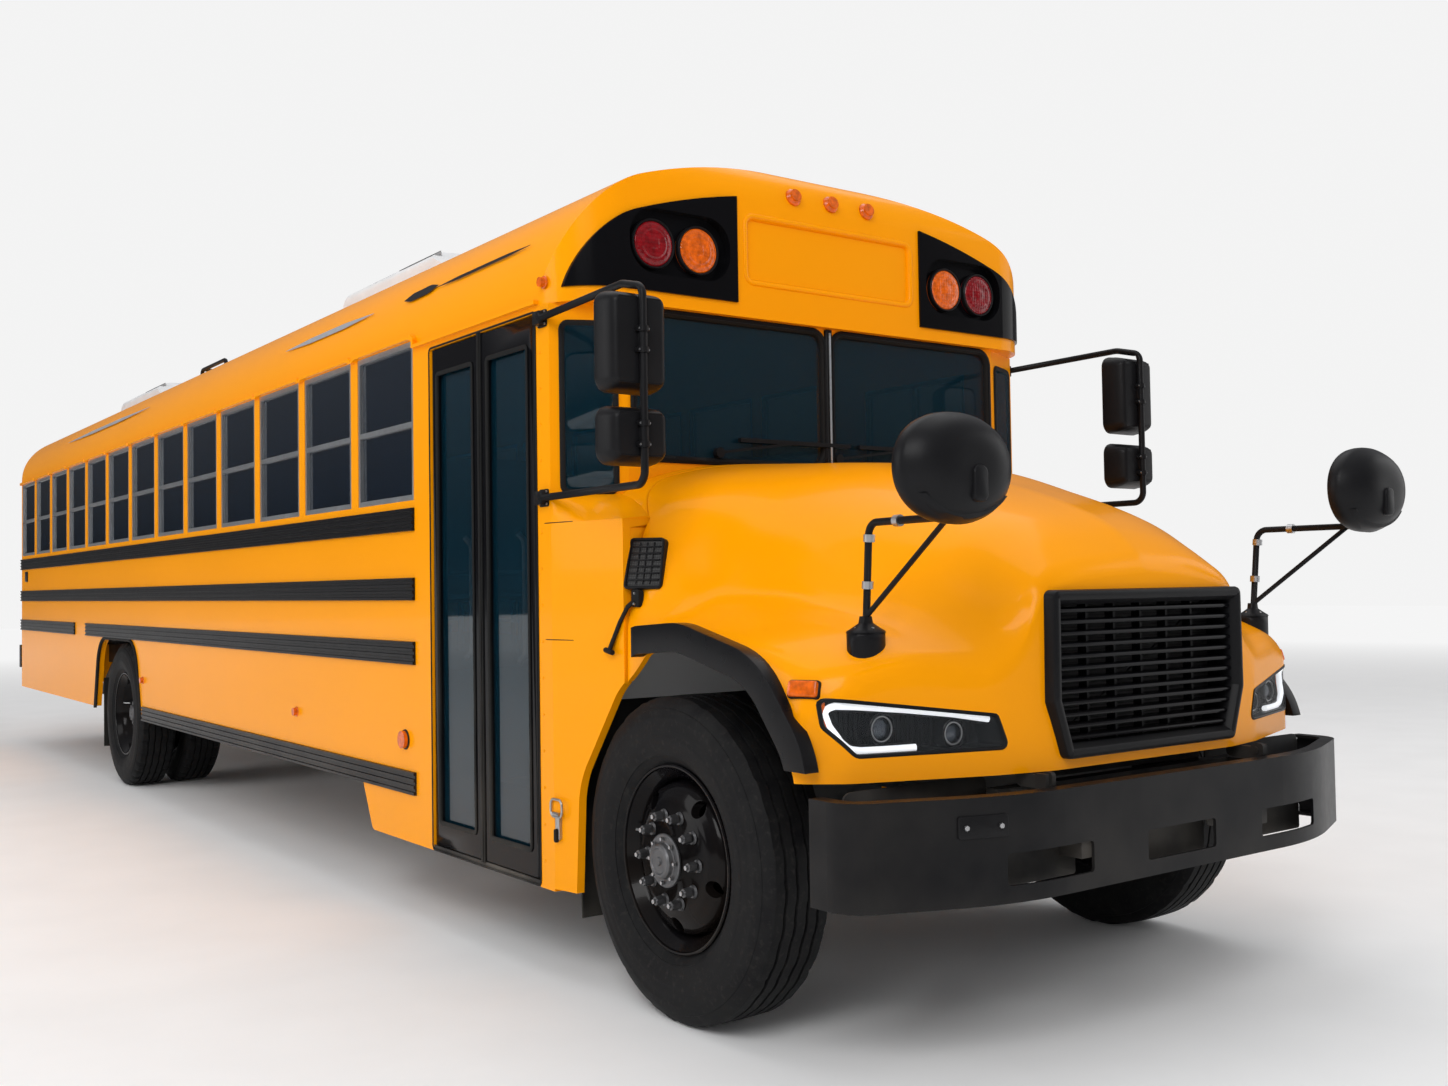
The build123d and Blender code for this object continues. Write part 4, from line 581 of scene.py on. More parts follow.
# ------------------------------------------------------------------ repeated fasteners
def scatter(name, finish, body, places, way, radius, height, sides=12, flat_top=False):
    """The same fastener at each place, instanced by geometry nodes and then made plain."""
    mesh = bpy.data.meshes.new(name)
    mesh.from_pydata([at(*p) for p in places], [], [])
    made = linked(name, mesh)
    tree = bpy.data.node_groups.new(f"{name} nodes", "GeometryNodeTree")
    face = tree.interface
    face.new_socket("Geometry", in_out="INPUT", socket_type="NodeSocketGeometry")
    sockets = {}
    for label, value in (("Radius", radius / 1000), ("Height", height / 1000)):
        made_socket = face.new_socket(label, in_out="INPUT", socket_type="NodeSocketFloat")
        made_socket.default_value = value
        sockets[label] = (made_socket.identifier, value)
    face.new_socket("Geometry", in_out="OUTPUT", socket_type="NodeSocketGeometry")
    node, link = tree.nodes.new, tree.links.new
    entry, leave = node("NodeGroupInput"), node("NodeGroupOutput")
    cone = node("GeometryNodeMeshCone")
    cone.inputs["Vertices"].default_value = sides
    cone.fill_type = "NGON"
    link(entry.outputs["Radius"], cone.inputs["Radius Bottom"])
    link(entry.outputs["Height"], cone.inputs["Depth"])
    top = node("ShaderNodeMath")
    top.operation = "MULTIPLY"
    top.inputs[1].default_value = 0.86 if flat_top else 0.55
    link(entry.outputs["Radius"], top.inputs[0])
    link(top.outputs[0], cone.inputs["Radius Top"])
    copies = node("GeometryNodeInstanceOnPoints")
    link(entry.outputs["Geometry"], copies.inputs["Points"])
    link(cone.outputs["Mesh"], copies.inputs["Instance"])
    turn = Vector((0, 0, 1)).rotation_difference(Vector(way)).to_euler()
    copies.inputs["Rotation"].default_value = turn
    real, paint = node("GeometryNodeRealizeInstances"), node("GeometryNodeSetMaterial")
    paint.inputs["Material"].default_value = MATERIALS[finish]
    link(copies.outputs[0], real.inputs[0])
    link(real.outputs[0], paint.inputs[0])
    link(paint.outputs[0], leave.inputs[0])
    step = made.modifiers.new("copies", "NODES")
    step.node_group = tree
    for identifier, value in sockets.values():
        step[identifier] = value
    settle(made)
    smooth(made, 30)
    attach(made, body)
    return made


def bolts(name, body, places, way, radius, height):
    """Hexagon heads of bright steel."""
    return scatter(name, "steel", body, places, way, radius, height, 6, True)


# ------------------------------------------------------------------ finishes on the frame's own parts
NODE_FINISH = {
    "yellow": "cowl front_cap front_frame roof side_wall_left side_wall_right rear_wall rear_door hood",
    "gloss": "lamp_pods wheel_front_left wheel_front_right wheels_rear_left wheels_rear_right",
    "rail": "rub_rails",
    "satin": "grille headlamps side_mirrors crossover_mirrors wipers dashboard fender_flares",
    "bumper": "front_bumper rear_bumper",
    "tyre": "tyre_front_left tyre_front_right tyres_rear_left tyres_rear_right",
    "rubber": "mud_flaps",
    "chassis": "frame_rails front_axle rear_axle leaf_springs fuel_tank radiator knuckle_left knuckle_right "
               "stepwell",
    "iron": "engine driveshaft exhaust",
    "sash": "window_frames entry_leaf_front entry_leaf_rear",
    "glass": "body_glass rear_door_glass",
    "screen": "windshield_glass entry_glass_front entry_glass_rear",
    "clear": "headlamp_lenses",
    "red": "red_lamps",
    "amber": "amber_lamps",
    "white": "roof_air_units",
    "vinyl": "seats",
    "floor": "floor",
    "sign": "stop_arm",
}


def dress_nodes():
    """Gives each part of the frame its finish."""
    for finish, names in NODE_FINISH.items():
        for name in names.split():
            node = bpy.data.objects[name]
            if not node.data.materials:
                node.data.materials.append(MATERIALS[finish])
            for index in range(len(node.material_slots)):
                node.material_slots[index].material = MATERIALS[finish]


# ------------------------------------------------------------------ stage
FLOOR = 60  # half of the floor's side, in metres
SENSOR = 36.0
FOCAL, IMAGE_WIDTH = 1388.09, 1448  # in pixels
EYE = (-3667.75, -8844.97, 1403.83)
GAZE = (36.1727, 1.7722, -0.8826)  # yaw, pitch and roll in degrees


def set_stage(looks):
    """Floor, sky, lights and camera."""
    scene = bpy.context.scene
    mesh = bpy.data.meshes.new("studio_floor")
    corners = [(-FLOOR, -FLOOR), (FLOOR, -FLOOR), (FLOOR, FLOOR), (-FLOOR, FLOOR)]
    mesh.from_pydata([(a, b, -0.002) for a, b in corners], [], [(0, 1, 2, 3)])
    floor = linked("studio_floor", mesh)
    graph = Graph("studio floor")
    speck = graph.noise(2.0, 5.0).ramp(0.3, 0.7)
    away = graph.node("ShaderNodeVectorMath", {"operation": "LENGTH"}, [graph.where], "Value").ramp(9.0, 26.0)
    plain = graph.blend(speck, (0.93, 0.93, 0.93), (0.96, 0.96, 0.96))
    graph.done({"Base Color": graph.blend(away, plain, (0.0, 0.0, 0.0)), "Roughness": 0.7 + speck * 0.1,
                "Emission Color": graph.blend(away, (0.0, 0.0, 0.0), (0.9, 0.9, 0.9)),
                "Emission Strength": 1.0, "Specular IOR Level": 0.1})
    mesh.materials.append(graph.material)

    world = bpy.data.worlds.new("studio")
    scene.world = world
    world.use_nodes = True
    tree = world.node_tree
    tree.nodes.clear()
    out = tree.nodes.new("ShaderNodeOutputWorld")
    seen, lit = tree.nodes.new("ShaderNodeBackground"), tree.nodes.new("ShaderNodeBackground")
    seen.inputs[0].default_value = (0.90, 0.90, 0.90, 1)
    seen.inputs[1].default_value = 1.0
    lit.inputs[1].default_value = looks.sky_level
    where, parts = tree.nodes.new("ShaderNodeTexCoord"), tree.nodes.new("ShaderNodeSeparateXYZ")
    ramp = tree.nodes.new("ShaderNodeValToRGB")
    for place, value in ((0.0, 0.30), (0.49, 0.34), (0.53, 0.95), (0.8, 0.60), (1.0, 0.85)):
        stops = ramp.color_ramp.elements
        stop = stops.new(place) if place not in (0.0, 1.0) else stops[int(place)]
        stop.color = (value, value, value * 1.02, 1)
    half = tree.nodes.new("ShaderNodeMath")
    half.operation = "MULTIPLY_ADD"
    half.inputs[1].default_value = half.inputs[2].default_value = 0.5
    tree.links.new(where.outputs["Generated"], parts.inputs[0])
    tree.links.new(parts.outputs[2], half.inputs[0])
    tree.links.new(half.outputs[0], ramp.inputs[0])
    tree.links.new(ramp.outputs[0], lit.inputs[0])
    shine = tree.nodes.new("ShaderNodeBackground")
    shine.inputs[1].default_value = looks.shine_level
    gloss = tree.nodes.new("ShaderNodeValToRGB")
    for place, value in ((0.0, 0.10), (0.47, 0.14), (0.515, 0.05), (0.57, 0.22), (0.72, 0.55), (1.0, 1.0)):
        stops = gloss.color_ramp.elements
        stop = stops.new(place) if place not in (0.0, 1.0) else stops[int(place) * (len(stops) - 1)]
        stop.color = (value, value, value * 1.04, 1)
    tree.links.new(half.outputs[0], gloss.inputs[0])
    tree.links.new(gloss.outputs[0], shine.inputs[0])
    rays, mix = tree.nodes.new("ShaderNodeLightPath"), tree.nodes.new("ShaderNodeMixShader")
    first = tree.nodes.new("ShaderNodeMixShader")
    tree.links.new(rays.outputs["Is Glossy Ray"], first.inputs[0])
    tree.links.new(lit.outputs[0], first.inputs[1])
    tree.links.new(shine.outputs[0], first.inputs[2])
    tree.links.new(rays.outputs["Is Camera Ray"], mix.inputs[0])
    tree.links.new(first.outputs[0], mix.inputs[1])
    tree.links.new(seen.outputs[0], mix.inputs[2])
    tree.links.new(mix.outputs[0], out.inputs[0])

    lamps = [
        ("key", (-9, -12, 9), (0, 0, 1.5), 6.0, looks.key_power),
        ("side", (-15, 3, 6), (-1, 1, 1.5), 9.0, looks.key_power * 0.8),
        ("top", (1, -1, 12), (0, 0, 2), 12.0, looks.key_power * 0.7),
        ("fill", (12, -9, 5), (0, -4, 1.5), 8.0, looks.key_power * 0.35),
    ]
    for name, place, target, size, power in lamps:
        light = bpy.data.lights.new(name, "AREA")
        light.size = size
        light.energy = power
        lamp = linked(name, light)
        lamp.location = place
        lamp.rotation_euler = (Vector(target) - Vector(place)).to_track_quat("-Z", "Y").to_euler()

    lens_data = bpy.data.cameras.new("camera")
    lens_data.sensor_fit = "HORIZONTAL"
    lens_data.sensor_width = SENSOR
    lens_data.lens = FOCAL / IMAGE_WIDTH * SENSOR
    lens_data.clip_end = 300
    eye = linked("camera", lens_data)
    yaw, pitch, roll = [math.radians(v) for v in GAZE]
    way = Vector((math.sin(yaw) * math.cos(pitch), math.cos(yaw) * math.cos(pitch), math.sin(pitch)))
    right = Vector((math.cos(yaw), -math.sin(yaw), 0))
    up = right.cross(way)
    new_right = right * math.cos(roll) + up * math.sin(roll)
    new_up = up * math.cos(roll) - right * math.sin(roll)
    turn = Matrix((new_right, new_up, -way)).transposed().to_4x4()
    eye.matrix_world = Matrix.Translation(at(*EYE)) @ turn
    scene.camera = eye
    scene.view_settings.view_transform = "Standard"
    scene.view_settings.look = "None"


def fillet_ring(rows, steps=8):
    """Corner points with radii turned into one ring of points."""
    ring = []
    count = len(rows)
    for i, row in enumerate(rows):
        here = Vector(row[:2])
        radius = row[2] if len(row) > 2 else 0
        if not radius:
            ring.append(tuple(here))
            continue
        before = (Vector(rows[i - 1][:2]) - here)
        after = (Vector(rows[(i + 1) % count][:2]) - here)
        angle = before.angle(after)
        reach = min(radius / math.tan(angle / 2), before.length * 0.499, after.length * 0.499)
        radius = reach * math.tan(angle / 2)
        inward = (before.normalized() + after.normalized()).normalized()
        middle = here + inward * (radius / math.sin(angle / 2))
        first = here + before.normalized() * reach - middle
        last = here + after.normalized() * reach - middle
        turn = first.angle_signed(last)
        for k in range(steps + 1):
            t = -turn * k / steps
            ring.append((middle.x + first.x * math.cos(t) - first.y * math.sin(t),
                         middle.y + first.x * math.sin(t) + first.y * math.cos(t)))
    return ring


def prism(name, ring, axis, low, high):
    """Plain solid over a ring, used only to cut with."""
    solid = Body()
    order = {"x": (2, 0, 1), "y": (0, 2, 1), "z": (0, 1, 2)}[axis]
    count = len(ring)
    solid.points = [[(a, b, level)[k] for k in order] for level in (low, high) for a, b in ring]
    solid.faces = [list(range(count)), list(range(2 * count - 1, count - 1, -1))]
    solid.faces += [[i, i + count, (i + 1) % count + count, (i + 1) % count] for i in range(count)]
    mesh = bpy.data.meshes.new(name)
    mesh.from_pydata([at(*p) for p in solid.points], [], solid.faces)
    work = bmesh.new()
    work.from_mesh(mesh)
    bmesh.ops.remove_doubles(work, verts=work.verts, dist=1e-6)
    bmesh.ops.recalc_face_normals(work, faces=work.faces)
    work.to_mesh(mesh)
    work.free()
    made = linked(name, mesh)
    return made


# ------------------------------------------------------------------ hood
# Half sections from the cowl to the grille: y, then (x, z) from the crown to the fender's side.
HOOD_ROWS = [
    (-4560, (0, 1885), (300, 1880), (560, 1866), (780, 1832), (980, 1752), (1085, 1600), (1120, 1400),
     (1138, 1250), (1140, 1100)),
    (-4815, (0, 1868), (300, 1862), (500, 1845), (740, 1806), (960, 1725), (1070, 1590), (1110, 1400),
     (1138, 1250), (1140, 1100)),
    (-5130, (0, 1848), (300, 1838), (500, 1805), (690, 1735), (850, 1600), (960, 1400), (1080, 1310),
     (1180, 1245), (1200, 1100)),
    (-5500, (0, 1752), (300, 1735), (500, 1692), (650, 1610), (770, 1470), (870, 1345), (1040, 1290),
     (1175, 1215), (1205, 1080)),
    (-5800, (0, 1655), (300, 1628), (500, 1565), (600, 1480), (680, 1360), (780, 1280), (960, 1240),
     (1130, 1150), (1190, 1020)),
    (-5950, (0, 1580), (300, 1545), (480, 1475), (550, 1390), (620, 1290), (720, 1215), (900, 1180),
     (1060, 1090), (1150, 980)),
    (-6085, (0, 1462), (300, 1440), (471, 1385), (510, 1290), (560, 1190), (650, 1120), (800, 1090),
     (960, 1020), (1060, 940)),
]
NOSE_HALF = [(440, -6082, 200), (640, -6040, 200), (1080, -5885, 200), (1190, -5790, 90), (1207, -5600, 200)]
HOOD_LOW = 842
HOOD_SKIN = 22
EDGE = 42
ARCH = [(-4554, 250), (-4578, 720, 300), (-4790, 1065, 220), (-4985, 1185, 120), (-5230, 1200, 300),
        (-5590, 1115, 260), (-5765, 900, 200), (-5790, 700), (-5790, 250)]
LAMP = [(600, 916, 20), (640, 1020, 15), (1080, 1078, 15), (1150, 1085, 20), (1140, 1000, 30),
        (1060, 912, 30)]
SLATS = 12
GRILLE_LOW, GRILLE_WAIST, GRILLE_HIGH = 873, 1045, 1377
GRILLE_RIM = 44
GRILLE = [(-471, GRILLE_HIGH, 25), (471, GRILLE_HIGH, 25), (475, GRILLE_WAIST, 40), (417, GRILLE_LOW, 25),
          (-417, GRILLE_LOW, 25), (-475, GRILLE_WAIST, 40)]
LEDGE = 1640


def nose_ring():
    """Half outline of the nose seen from above, from the middle to the rear."""
    rows = [(-440, -6082, 200), *NOSE_HALF, (1207, -4400), (-1207, -4400)]
    ring = fillet_ring(rows, 14)
    half = [p for p in ring if p[0] > 1 and p[1] < -4401]
    return [(0.0, -6082.0), *half, (1207.0, -4500.0)]


def hood_grid():
    """Rows of points over the hood, from the foot of its front wall to its rear."""
    ring = np.array(nose_ring())
    knots = np.array([row[0] for row in HOOD_ROWS][::-1], float)
    sections = np.array([[list(p) for p in row[1:]] for row in HOOD_ROWS][::-1], float)
    front = -6082 + 45 * (1 - np.cos(np.linspace(0, math.pi / 2, 9)))
    stations = np.concatenate([front, np.linspace(-6030, -5780, 30), np.linspace(-5765, -4545, 62)])
    rows = []
    share = np.linspace(0, 1, 62) ** 0.9
    for y in stations:
        points = np.array([[smooth_curve(knots, sections[:, k, axis], np.array([y]))[0] for axis in (0, 1)]
                           for k in range(9)])
        reach = np.concatenate([[0], np.cumsum(np.hypot(*np.diff(points, axis=0).T))])
        fine = np.linspace(0, reach[-1], 400)
        across, height = smooth_curve(reach, points[:, 0], fine), smooth_curve(reach, points[:, 1], fine)
        slack = np.where(np.diff(ring[:, 1]) > 1e-9)[0]
        limit = np.interp(y, ring[slack[0]:, 1], ring[slack[0]:, 0])
        end = reach[-1] if across[-1] <= limit else np.interp(limit, across, fine)
        places = share * end
        x, z = np.interp(places, fine, across), np.interp(places, fine, height)
        starts, ends = ring[:-1], ring[1:]
        way = ends - starts
        spot = np.stack([x, np.full_like(x, y)], axis=1)[:, None, :]
        along = np.clip(((spot - starts) * way).sum(2) / (way ** 2).sum(1), 0, 1)
        away = np.linalg.norm(starts + way * along[..., None] - spot, axis=2).min(1)
        round_edge = EDGE * np.clip((-5560 - y) / 240, 0, 1)
        inside = np.clip(round_edge - away, 0, None)
        z = z - (round_edge - np.sqrt(np.clip(round_edge ** 2 - inside ** 2, 0, None)))
        top = [(float(a), float(y), float(b)) for a, b in zip(x, z)]
        edge = top[-1]
        foot = [(edge[0], edge[1], edge[2] + (HOOD_LOW - edge[2]) * t) for t in (0.15, 0.4, 0.7, 1.0)]
        half = top + foot
        rows.append([(-a, b, c) for a, b, c in reversed(half[1:])] + half)
    return rows


def hood_shell(name):
    """Hood's skin, with thickness."""
    rows = hood_grid()
    front = rows[0][4:-4]
    wall = [[(a, b, c + (HOOD_LOW - c) * t) for a, b, c in front] for t in (1.0, 0.7, 0.4, 0.15)]
    skin = Body().grid(rows).grid([*wall, front])
    made = skin.make(name, ["yellow", "chassis"], "hood", angle=40)
    work = bmesh.new()
    work.from_mesh(made.data)
    bmesh.ops.remove_doubles(work, verts=work.verts, dist=2e-4)
    bmesh.ops.dissolve_degenerate(work, dist=1e-5, edges=work.edges)
    bmesh.ops.recalc_face_normals(work, faces=work.faces)
    top = max(work.faces, key=lambda f: f.calc_center_median().z)
    if top.normal.z < 0:
        bmesh.ops.reverse_faces(work, faces=work.faces)
    work.to_mesh(made.data)
    work.free()
    thick = made.modifiers.new("skin", "SOLIDIFY")
    thick.thickness = HOOD_SKIN / 1000
    thick.offset = -1
    thick.material_offset = 1
    settle(made)
    return made


def make_hood():
    """Smooth hood with its arches and openings, and the arms it tilts on."""
    hood = hood_shell("hood_skin")
    rear = [(-4640, 2100), (-4640, 1800), (-4822, LEDGE), (-4822, 200), (-4000, 200), (-4000, 2100)]
    lamp = fillet_ring(LAMP)
    cut(hood, prism("rear", rear, "x", -1500, 1500), prism("arch", fillet_ring(ARCH, 14), "x", -1500, 1500),
        prism("lamp_left", lamp, "y", -6300, -5650),
        prism("lamp_right", [(-a, b) for a, b in reversed(lamp)], "y", -6300, -5650),
        prism("mouth", fillet_ring(GRILLE), "y", -6300, -5850))
    hood.data.set_sharp_from_angle(angle=math.radians(32))
    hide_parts("hood")
    arms = Body()
    face = fillet_ring([(-6147, 799, 20), (-6007, 799, 20), (-6007, 1056), (-6061, 1056), (-6061, 838),
                        (-6100, 838), (-6120, 851, 12), (-6147, 851, 20)])
    for side in (-1, 1):
        low, high = sorted((side * 518, side * 534))
        arms.slab(face, side_axes(1), low, high)
    made = arms.make("hood_hinge_arms", "chassis", "hood")


def make_cowl():
    """Upper cowl as a smooth shell, and the cowl's sides below the ledge."""
    top = hood_shell("cowl_skin")
    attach(top, "body")
    keep = [(-4632, 2100), (-4632, 1801), (-4814, LEDGE), (-4814, LEDGE), (-4560, LEDGE), (-4560, 2100)]
    cut(top, prism("keep", keep, "x", -1500, 1500), operation="INTERSECT")
    low = copy_of("cowl", "cowl_sides")
    cut(low, prism("above", [(-1500, -5000), (1500, -5000), (1500, -4400), (-1500, -4400)], "z", LEDGE + 0.5,
                   2300))
    smooth(low, 30)
    low.data.materials.append(MATERIALS["chassis"])
    for face in low.data.polygons:
        middle, way = face.center, face.normal
        inward = way.x * middle.x < -0.01 and abs(way.z) < 0.3
        if inward or (way.y < -0.5 and abs(middle.y * 1000 - SHIFT + 4560) < 3):
            face.material_index = 1
    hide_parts("cowl")


def copy_of(node, name, finish=None):
    """Merged copy of a part of the frame, smooth where it is round."""
    source = bpy.data.objects[node]
    mesh = source.data.copy()
    made = linked(name, mesh)
    work = bmesh.new()
    work.from_mesh(made.data)
    bmesh.ops.remove_doubles(work, verts=work.verts, dist=2e-5)
    bmesh.ops.recalc_face_normals(work, faces=work.faces)
    work.to_mesh(made.data)
    work.free()
    smooth(made, 30)
    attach(made, source["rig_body"])
    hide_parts(node)
    if finish:
        made.data.materials.clear()
        made.data.materials.append(MATERIALS[finish])
    return made


# ------------------------------------------------------------------ wheels and tyres
WHEEL_Z = 525
FRONT_Y = -5100
REAR_Y = 2140
FRONT_X, REAR_X, INNER_X = 1040, 1060, 730  # middles of the tyres
LUG_CIRCLE = 142.9  # radius on which the lug nuts stand
# Node, axle's y, face of the disc, nose and radius of the hub cap, tyre's middle, and the valve from it
WHEELS = [("wheel_front", FRONT_Y, 1152, 1182, 78, FRONT_X, 96),
          ("wheels_rear", REAR_Y, 909, 1100, 88, REAR_X, 60)]


def tyre_profile():
    """Closed section of a tyre as (offset, radius), from bead to bead and back inside."""
    flank = [(-96, 290.5), (-101.5, 306), (-112, 318), (-121, 330), (-123, 334), (-125.5, 334.5), (-131, 352),
             (-137, 374), (-139.5, 392), (-139.5, 400), (-138.8, 404), (-139.2, 408), (-137.5, 432),
             (-134.5, 452), (-135, 456), (-134, 460), (-130.5, 478), (-127, 486), (-124.5, 487), (-120, 498),
             (-113, 510), (-106, 518)]
    tread = []
    grooves = (-64, -22, 22, 64)
    edges = [-101]
    for g in grooves:
        edges += [g - 5.5, g - 3.5, g + 3.5, g + 5.5]
    for i, a in enumerate(edges):
        deep = i > 0 and (i - 1) % 4 in (1, 2)
        tread.append((a, 511.5 if deep else 525 - 2.5 * (a / 101) ** 2))
    tread.append((101, 522.5))
    inner = [(90, 300), (60, 306), (-60, 306), (-90, 300)]
    return [*flank, *tread, *[(-a, r) for a, r in reversed(flank)], *inner]


def tyre_rings(x, y, lugs):
    """Tyre in rings round the axle; a driven tyre has lugs cut into its shoulders."""
    turns = 180
    rings = []
    for k in range(turns):
        t = 2 * math.pi * k / turns
        wave = 1.6 * (1 if k % 6 < 3 else -1)
        ring = []
        for a, r in tyre_profile():
            if r > 505 and abs(a) < 103:
                a += wave
            if abs(a) > 68 and r > 509:
                notch = (k % 5 == 0) if lugs else (k % 9 == 0)
                r -= (10 if lugs else 3) if notch else 0
            ring.append((x + a, y + r * math.sin(t), WHEEL_Z + r * math.cos(t)))
        rings.append(ring)
    return rings


def make_tyres():
    """Tyres with their tread."""
    rows = [("tyre_front", FRONT_X, FRONT_Y, "wheel_front", False),
            ("tyres_rear", REAR_X, REAR_Y, "wheels_rear", True),
            ("tyres_rear", INNER_X, REAR_Y, "wheels_rear", True)]
    for side, word in SIDES:
        for node, x, y, body, lugs in rows:
            made = Body().grid(tyre_rings(side * x, y, lugs), closed_rows=True, closed_columns=True)
            name = f"{node}_{word}_tread_{x}"
            made.make(name, "tyre", f"{body}_{word}", "tyre_rubber", [f"{node}_{word}"], 28)


def make_wheels():
    """Rims, nuts, hub caps and valves."""
    for side, word in SIDES:
        out = (side, 0, 0)
        for node, y, face, nose, radius, centre, valve_out in WHEELS:
            body = f"{node}_{word}"
            copy_of(body, f"{body}_rim", "gloss")
            turns = [2 * math.pi * (k + 0.5) / 10 for k in range(10)]
            ring = [(math.sin(t) * LUG_CIRCLE + y, math.cos(t) * LUG_CIRCLE + WHEEL_Z) for t in turns]
            for piece, finish, lift, wide, high, sides in (("lug_seats", "hub", 3, 22, 7, 24),
                                                           ("lug_nuts", "hub", 16, 17, 26, 6),
                                                           ("studs", "steel", 34, 8.5, 18, 14)):
                scatter(f"{body}_{piece}", finish, body, [(side * (face + lift), a, b) for a, b in ring], out,
                        wide, high, sides, True)
            hub = Body()
            rows = [(-2, radius + 8), (4, radius + 8), (7, radius + 4), (7, 62), (9, 58), (22, 55), (28, 50),
                    (30, 42), (26, 38), (26, 14), (31, 12), (31, 0.5), (-2, 0.5)]
            hub.lathe([(nose + a, r) for a, r in rows], (0, y, WHEEL_Z), out, 48)
            hub.make(f"{body}_hub_cap", "hub", body, "bright_steel", angle=25)
            caps = [(side * (nose + 11), y + 70 * math.sin(t), WHEEL_Z + 70 * math.cos(t))
                    for t in [2 * math.pi * k / 8 for k in range(8)]]
            bolts(f"{body}_hub_bolts", body, caps, out, 7, 8)
            valve = Body()
            rim_x = centre + valve_out
            valve.tube([(side * (rim_x - 36), y + 222, WHEEL_Z + 60),
                        (side * (rim_x - 8), y + 230, WHEEL_Z + 62),
                        (side * (rim_x + 6), y + 238, WHEEL_Z + 64)], 4.5, 10)
            valve.make(f"{body}_valve", "steel", body, "bright_steel")
            lip = Body()
            lip.lathe([(centre + 104, 304), (centre + 110, 305), (centre + 113, 301), (centre + 112, 295),
                       (centre + 106, 292), (centre + 99, 293)], (0, y, WHEEL_Z), out, 96)
            lip.make(f"{body}_rim_lip", "gloss", body, "black_gloss", angle=40)


# ------------------------------------------------------------------ grille and headlamps
def inset_ring(ring, distance):
    """Ring drawn in by a distance (out, if it is negative)."""
    count = len(ring)
    area = sum(a[0] * b[1] - b[0] * a[1] for a, b in zip(ring, [*ring[1:], ring[0]]))
    sense = 1 if area > 0 else -1
    result = []
    for i in range(count):
        here = Vector(ring[i])
        first = (here - Vector(ring[i - 1])).normalized()
        second = (Vector(ring[(i + 1) % count]) - here).normalized()
        normals = [Vector((-w.y, w.x)) * sense for w in (first, second)]
        middle = (normals[0] + normals[1]).normalized()
        result.append(tuple(here + middle * (distance / max(middle.dot(normals[0]), 0.35))))
    return result


def frame_bar(ring, profile, place):
    """Closed frame: profile rows of (inset, depth) carried round a ring."""
    bar = Body()
    rings = [[place(a, b, depth) for a, b in inset_ring(ring, inset)] for inset, depth in profile]
    bar.grid(rings, closed_rows=True, closed_columns=True)
    return bar


def to_front(a, b, depth):
    """Place on the front of the bus: depth is the y."""
    return (a, depth, b)


def make_grille():
    """Surround, slats, posts and mesh."""
    ring = fillet_ring(GRILLE, 10)
    outside = inset_ring(ring, 0.5)
    profile = [(0, -5996), (0, -6104), (3, -6111), (10, -6116), (20, -6117), (30, -6113), (41, -6098),
               (GRILLE_RIM, -6088), (GRILLE_RIM, -5996)]
    frame_bar(outside, profile, to_front).make("grille_surround", "satin", "hood", "black_plastic",
                                               ["grille"], 30)
    slats = Body()
    pitch = (GRILLE_HIGH - GRILLE_LOW - 2 * GRILLE_RIM) / SLATS
    for i in range(SLATS):
        z = GRILLE_LOW + GRILLE_RIM + pitch * (i + 0.5)
        rise = min(max((z - GRILLE_LOW) / (GRILLE_WAIST - GRILLE_LOW), 0), 1)
        half = 377 + 58 * rise
        section = [(-6044, z - 5), (-6086, z - 9), (-6092, z - 7), (-6094, z - 2), (-6092, z + 3),
                   (-6086, z + 6), (-6044, z + 8)]
        slats.loft([[(x, y, b) for y, b in section] for x in (-half, half)])
    slats.make("grille_slats", "gloss", "hood", "black_plastic", angle=30)
    posts = Body()
    for x in (-262, -131, 0, 131, 262):
        posts.slab(rounded_ring(x - 5, x + 5, 905, 1350, 3, 2), REAR_AXES, -6062, -6030)
    posts.make("grille_posts", "satin", "hood", "black_plastic")
    back = Body()
    back.slab(inset_ring(ring, 30), REAR_AXES, -6004, -6000)
    back.make("grille_screen", "vent", "hood", "black_plastic")


def nose_y(x, inset=0.0):
    """Where the nose's wall stands at x, drawn in by inset."""
    ring = nose_ring()
    a = abs(x)
    for (x0, y0), (x1, y1) in zip(ring, ring[1:]):
        if x0 <= a <= x1 and x1 > x0:
            y = y0 + (y1 - y0) * (a - x0) / (x1 - x0)
            slope = (y1 - y0) / (x1 - x0)
            return y + inset * math.hypot(1, slope)
    return ring[-1][1]


def along_nose(points, inset, side):
    """Points (x, z) set on the nose's wall, inset behind it."""
    return [(side * a, nose_y(a, inset), b) for a, b in points]


def lamp_ring(inset):
    """Outline of a headlamp, drawn in by inset."""
    return inset_ring(fillet_ring(LAMP, 6), inset)


def spaced(points, count):
    """The same line with evenly spaced points."""
    points = np.array(points, float)
    reach = np.concatenate([[0], np.cumsum(np.linalg.norm(np.diff(points, axis=0), axis=1))])
    places = np.linspace(0, reach[-1], count)
    return np.stack([np.interp(places, reach, points[:, k]) for k in range(points.shape[1])], axis=1)


